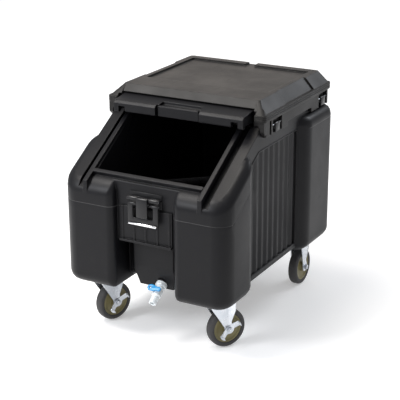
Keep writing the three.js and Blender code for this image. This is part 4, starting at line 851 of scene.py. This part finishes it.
def grooved(piece, crossed, onLine, point, normal):  # a narrow groove where a plane meets upright faces
    flat = Vector(normal).normalized()
    for shift in (-shell["groove"], 0, shell["groove"]):
        pickFaces(piece, lambda middle, facing: abs(facing.z) < shell["upright"] and crossed(middle))
        bpy.ops.mesh.bisect(plane_co=Vector(point) + flat * shift, plane_no=flat, threshold=near["cut"])
        bpy.ops.mesh.select_mode(type="FACE")
    pickVerts(piece, lambda spot: abs((spot - Vector(point)).dot(flat)) < near["inGroove"] and onLine(spot))
    bpy.ops.transform.shrink_fatten(value=-shell["depth"])
    bpy.ops.mesh.select_mode(type="FACE")


def onFront(spot):
    return spot.y < shell["corner"]


def onSlant(spot):
    return abs(spot.x) > shell["reach"] and shell["corner"] < spot.y < shell["frontEnd"]


def onRear(spot):
    return spot.y > shell["rearStart"] and (abs(spot.x) > shell["reach"] or spot.y > shell["rearFace"])


def nearFront(spot):
    return spot.y < shell["frontEnd"] and (abs(spot.x) > shell["side"] or spot.y < shell["corner"])


def within(spot, box):  # a box on both sides of the bin
    (inner, outer), (front, rear), (low, high) = box
    return inner < abs(spot.x) < outer and front < spot.y < rear and low < spot.z < high


def partLines():  # the planes of the parting line: level in front, rising along the sides, level behind
    slope = math.radians(shell["slope"])
    front = ((0, 0, shell["frontLine"]), (0, 0, 1))
    slant = ((0, shell["corner"], shell["frontLine"]), (0, -math.sin(slope), math.cos(slope)))
    rear = ((0, 0, shell["rearLine"]), (0, 0, 1))
    return front, slant, rear


def makePartLines():
    front, slant, rear = partLines()
    # The beads take the pale seam moulding, a painted highlight along the parting line
    beadAlong("part_line_front", "tub", [(*front, onFront), (*slant, onSlant)], shell["bead"], "shell",
              look="seamSheen", split=(0, shell["corner"], 0), inward=shell["inward"])
    beadAlong("part_line_rear", "tub", [(*rear, onRear)], shell["bead"], "shell",
              look="seamSheen", inward=shell["inward"])


def makeTub():
    piece = mergedCopy("tub", "tub_form")
    openEdit(piece)
    for point, normal in shell["splits"]:  # a flat face with a hole in it fills up when it is bevelled whole
        bpy.ops.mesh.select_all(action="SELECT")
        bpy.ops.mesh.bisect(plane_co=point, plane_no=normal, threshold=near["cut"])
    pickEdges(piece, lambda edge: edge.is_manifold and edge.calc_length() > shell["shortest"]
              and edge.calc_face_angle() > math.radians(shell["angle"]))
    bpy.ops.mesh.bevel(offset=shell["round"], segments=shell["segments"], clamp_overlap=False)
    bpy.ops.mesh.select_mode(type="FACE")
    bpy.ops.mesh.select_all(action="DESELECT")
    front, slant, rear = partLines()
    grooved(piece, nearFront, onFront, *front)
    grooved(piece, nearFront, onSlant, *slant)
    grooved(piece, onRear, onRear, *rear)
    pickVerts(piece, lambda spot: within(spot, shell["shoulder"]))
    bpy.ops.mesh.vertices_smooth(factor=shell["ease"], repeat=shell["easeTimes"])
    closeEdit()
    evened(piece, lambda spot: not within(spot, shell["flutes"]))
    settled(piece, "shell", bodyOf["tub"], "tub")


makeTub()
makePartLines()
print("tub made")


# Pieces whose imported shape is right: a copy of each gets its edges rounded
dressing = {
    "cover_frame": {"edges": (0.0016, 2, 32), "even": True},
    "cover_top": {"edges": (0.0026, 3, 20), "even": True},
    "sliding_lid": {"edges": (0.0018, 3, 28), "even": True},
    "rib_plate": {"edges": (0.0008, 2, 30), "even": True},
    "latch": {"edges": (0.0007, 2, 30), "smooth": 40},
    "clip": {"edges": (0.0007, 2, 30), "smooth": 40},
    "caster": {"edges": (0.0007, 2, 30), "smooth": 40},
    "tap_lever": {"edges": (0.0012, 3, 30), "smooth": 40},
    "small": {"edges": (0.0005, 2, 30), "smooth": 40},
}
shaped = ("tub", "wheel_tyre_", "wheel_hub_", "caster_fork_front_", "brake_lever_", "tap_body")


def lookFor(node):
    for start in dressing:
        if node.startswith(start):
            return dressing[start]
    return dressing["small"]


def dressedCopy(node):
    look = lookFor(node)
    piece = mergedCopy(node, node + "_form")
    rounded(piece, *look["edges"])
    if "even" in look:
        evened(piece)
    else:
        smoothed(piece, look["smooth"])
    settled(piece, slotOf[node], bodyOf[node], node)


for node in sorted(nodes):
    if not node.startswith(shaped):
        dressedCopy(node)
print("packed shapes dressed")
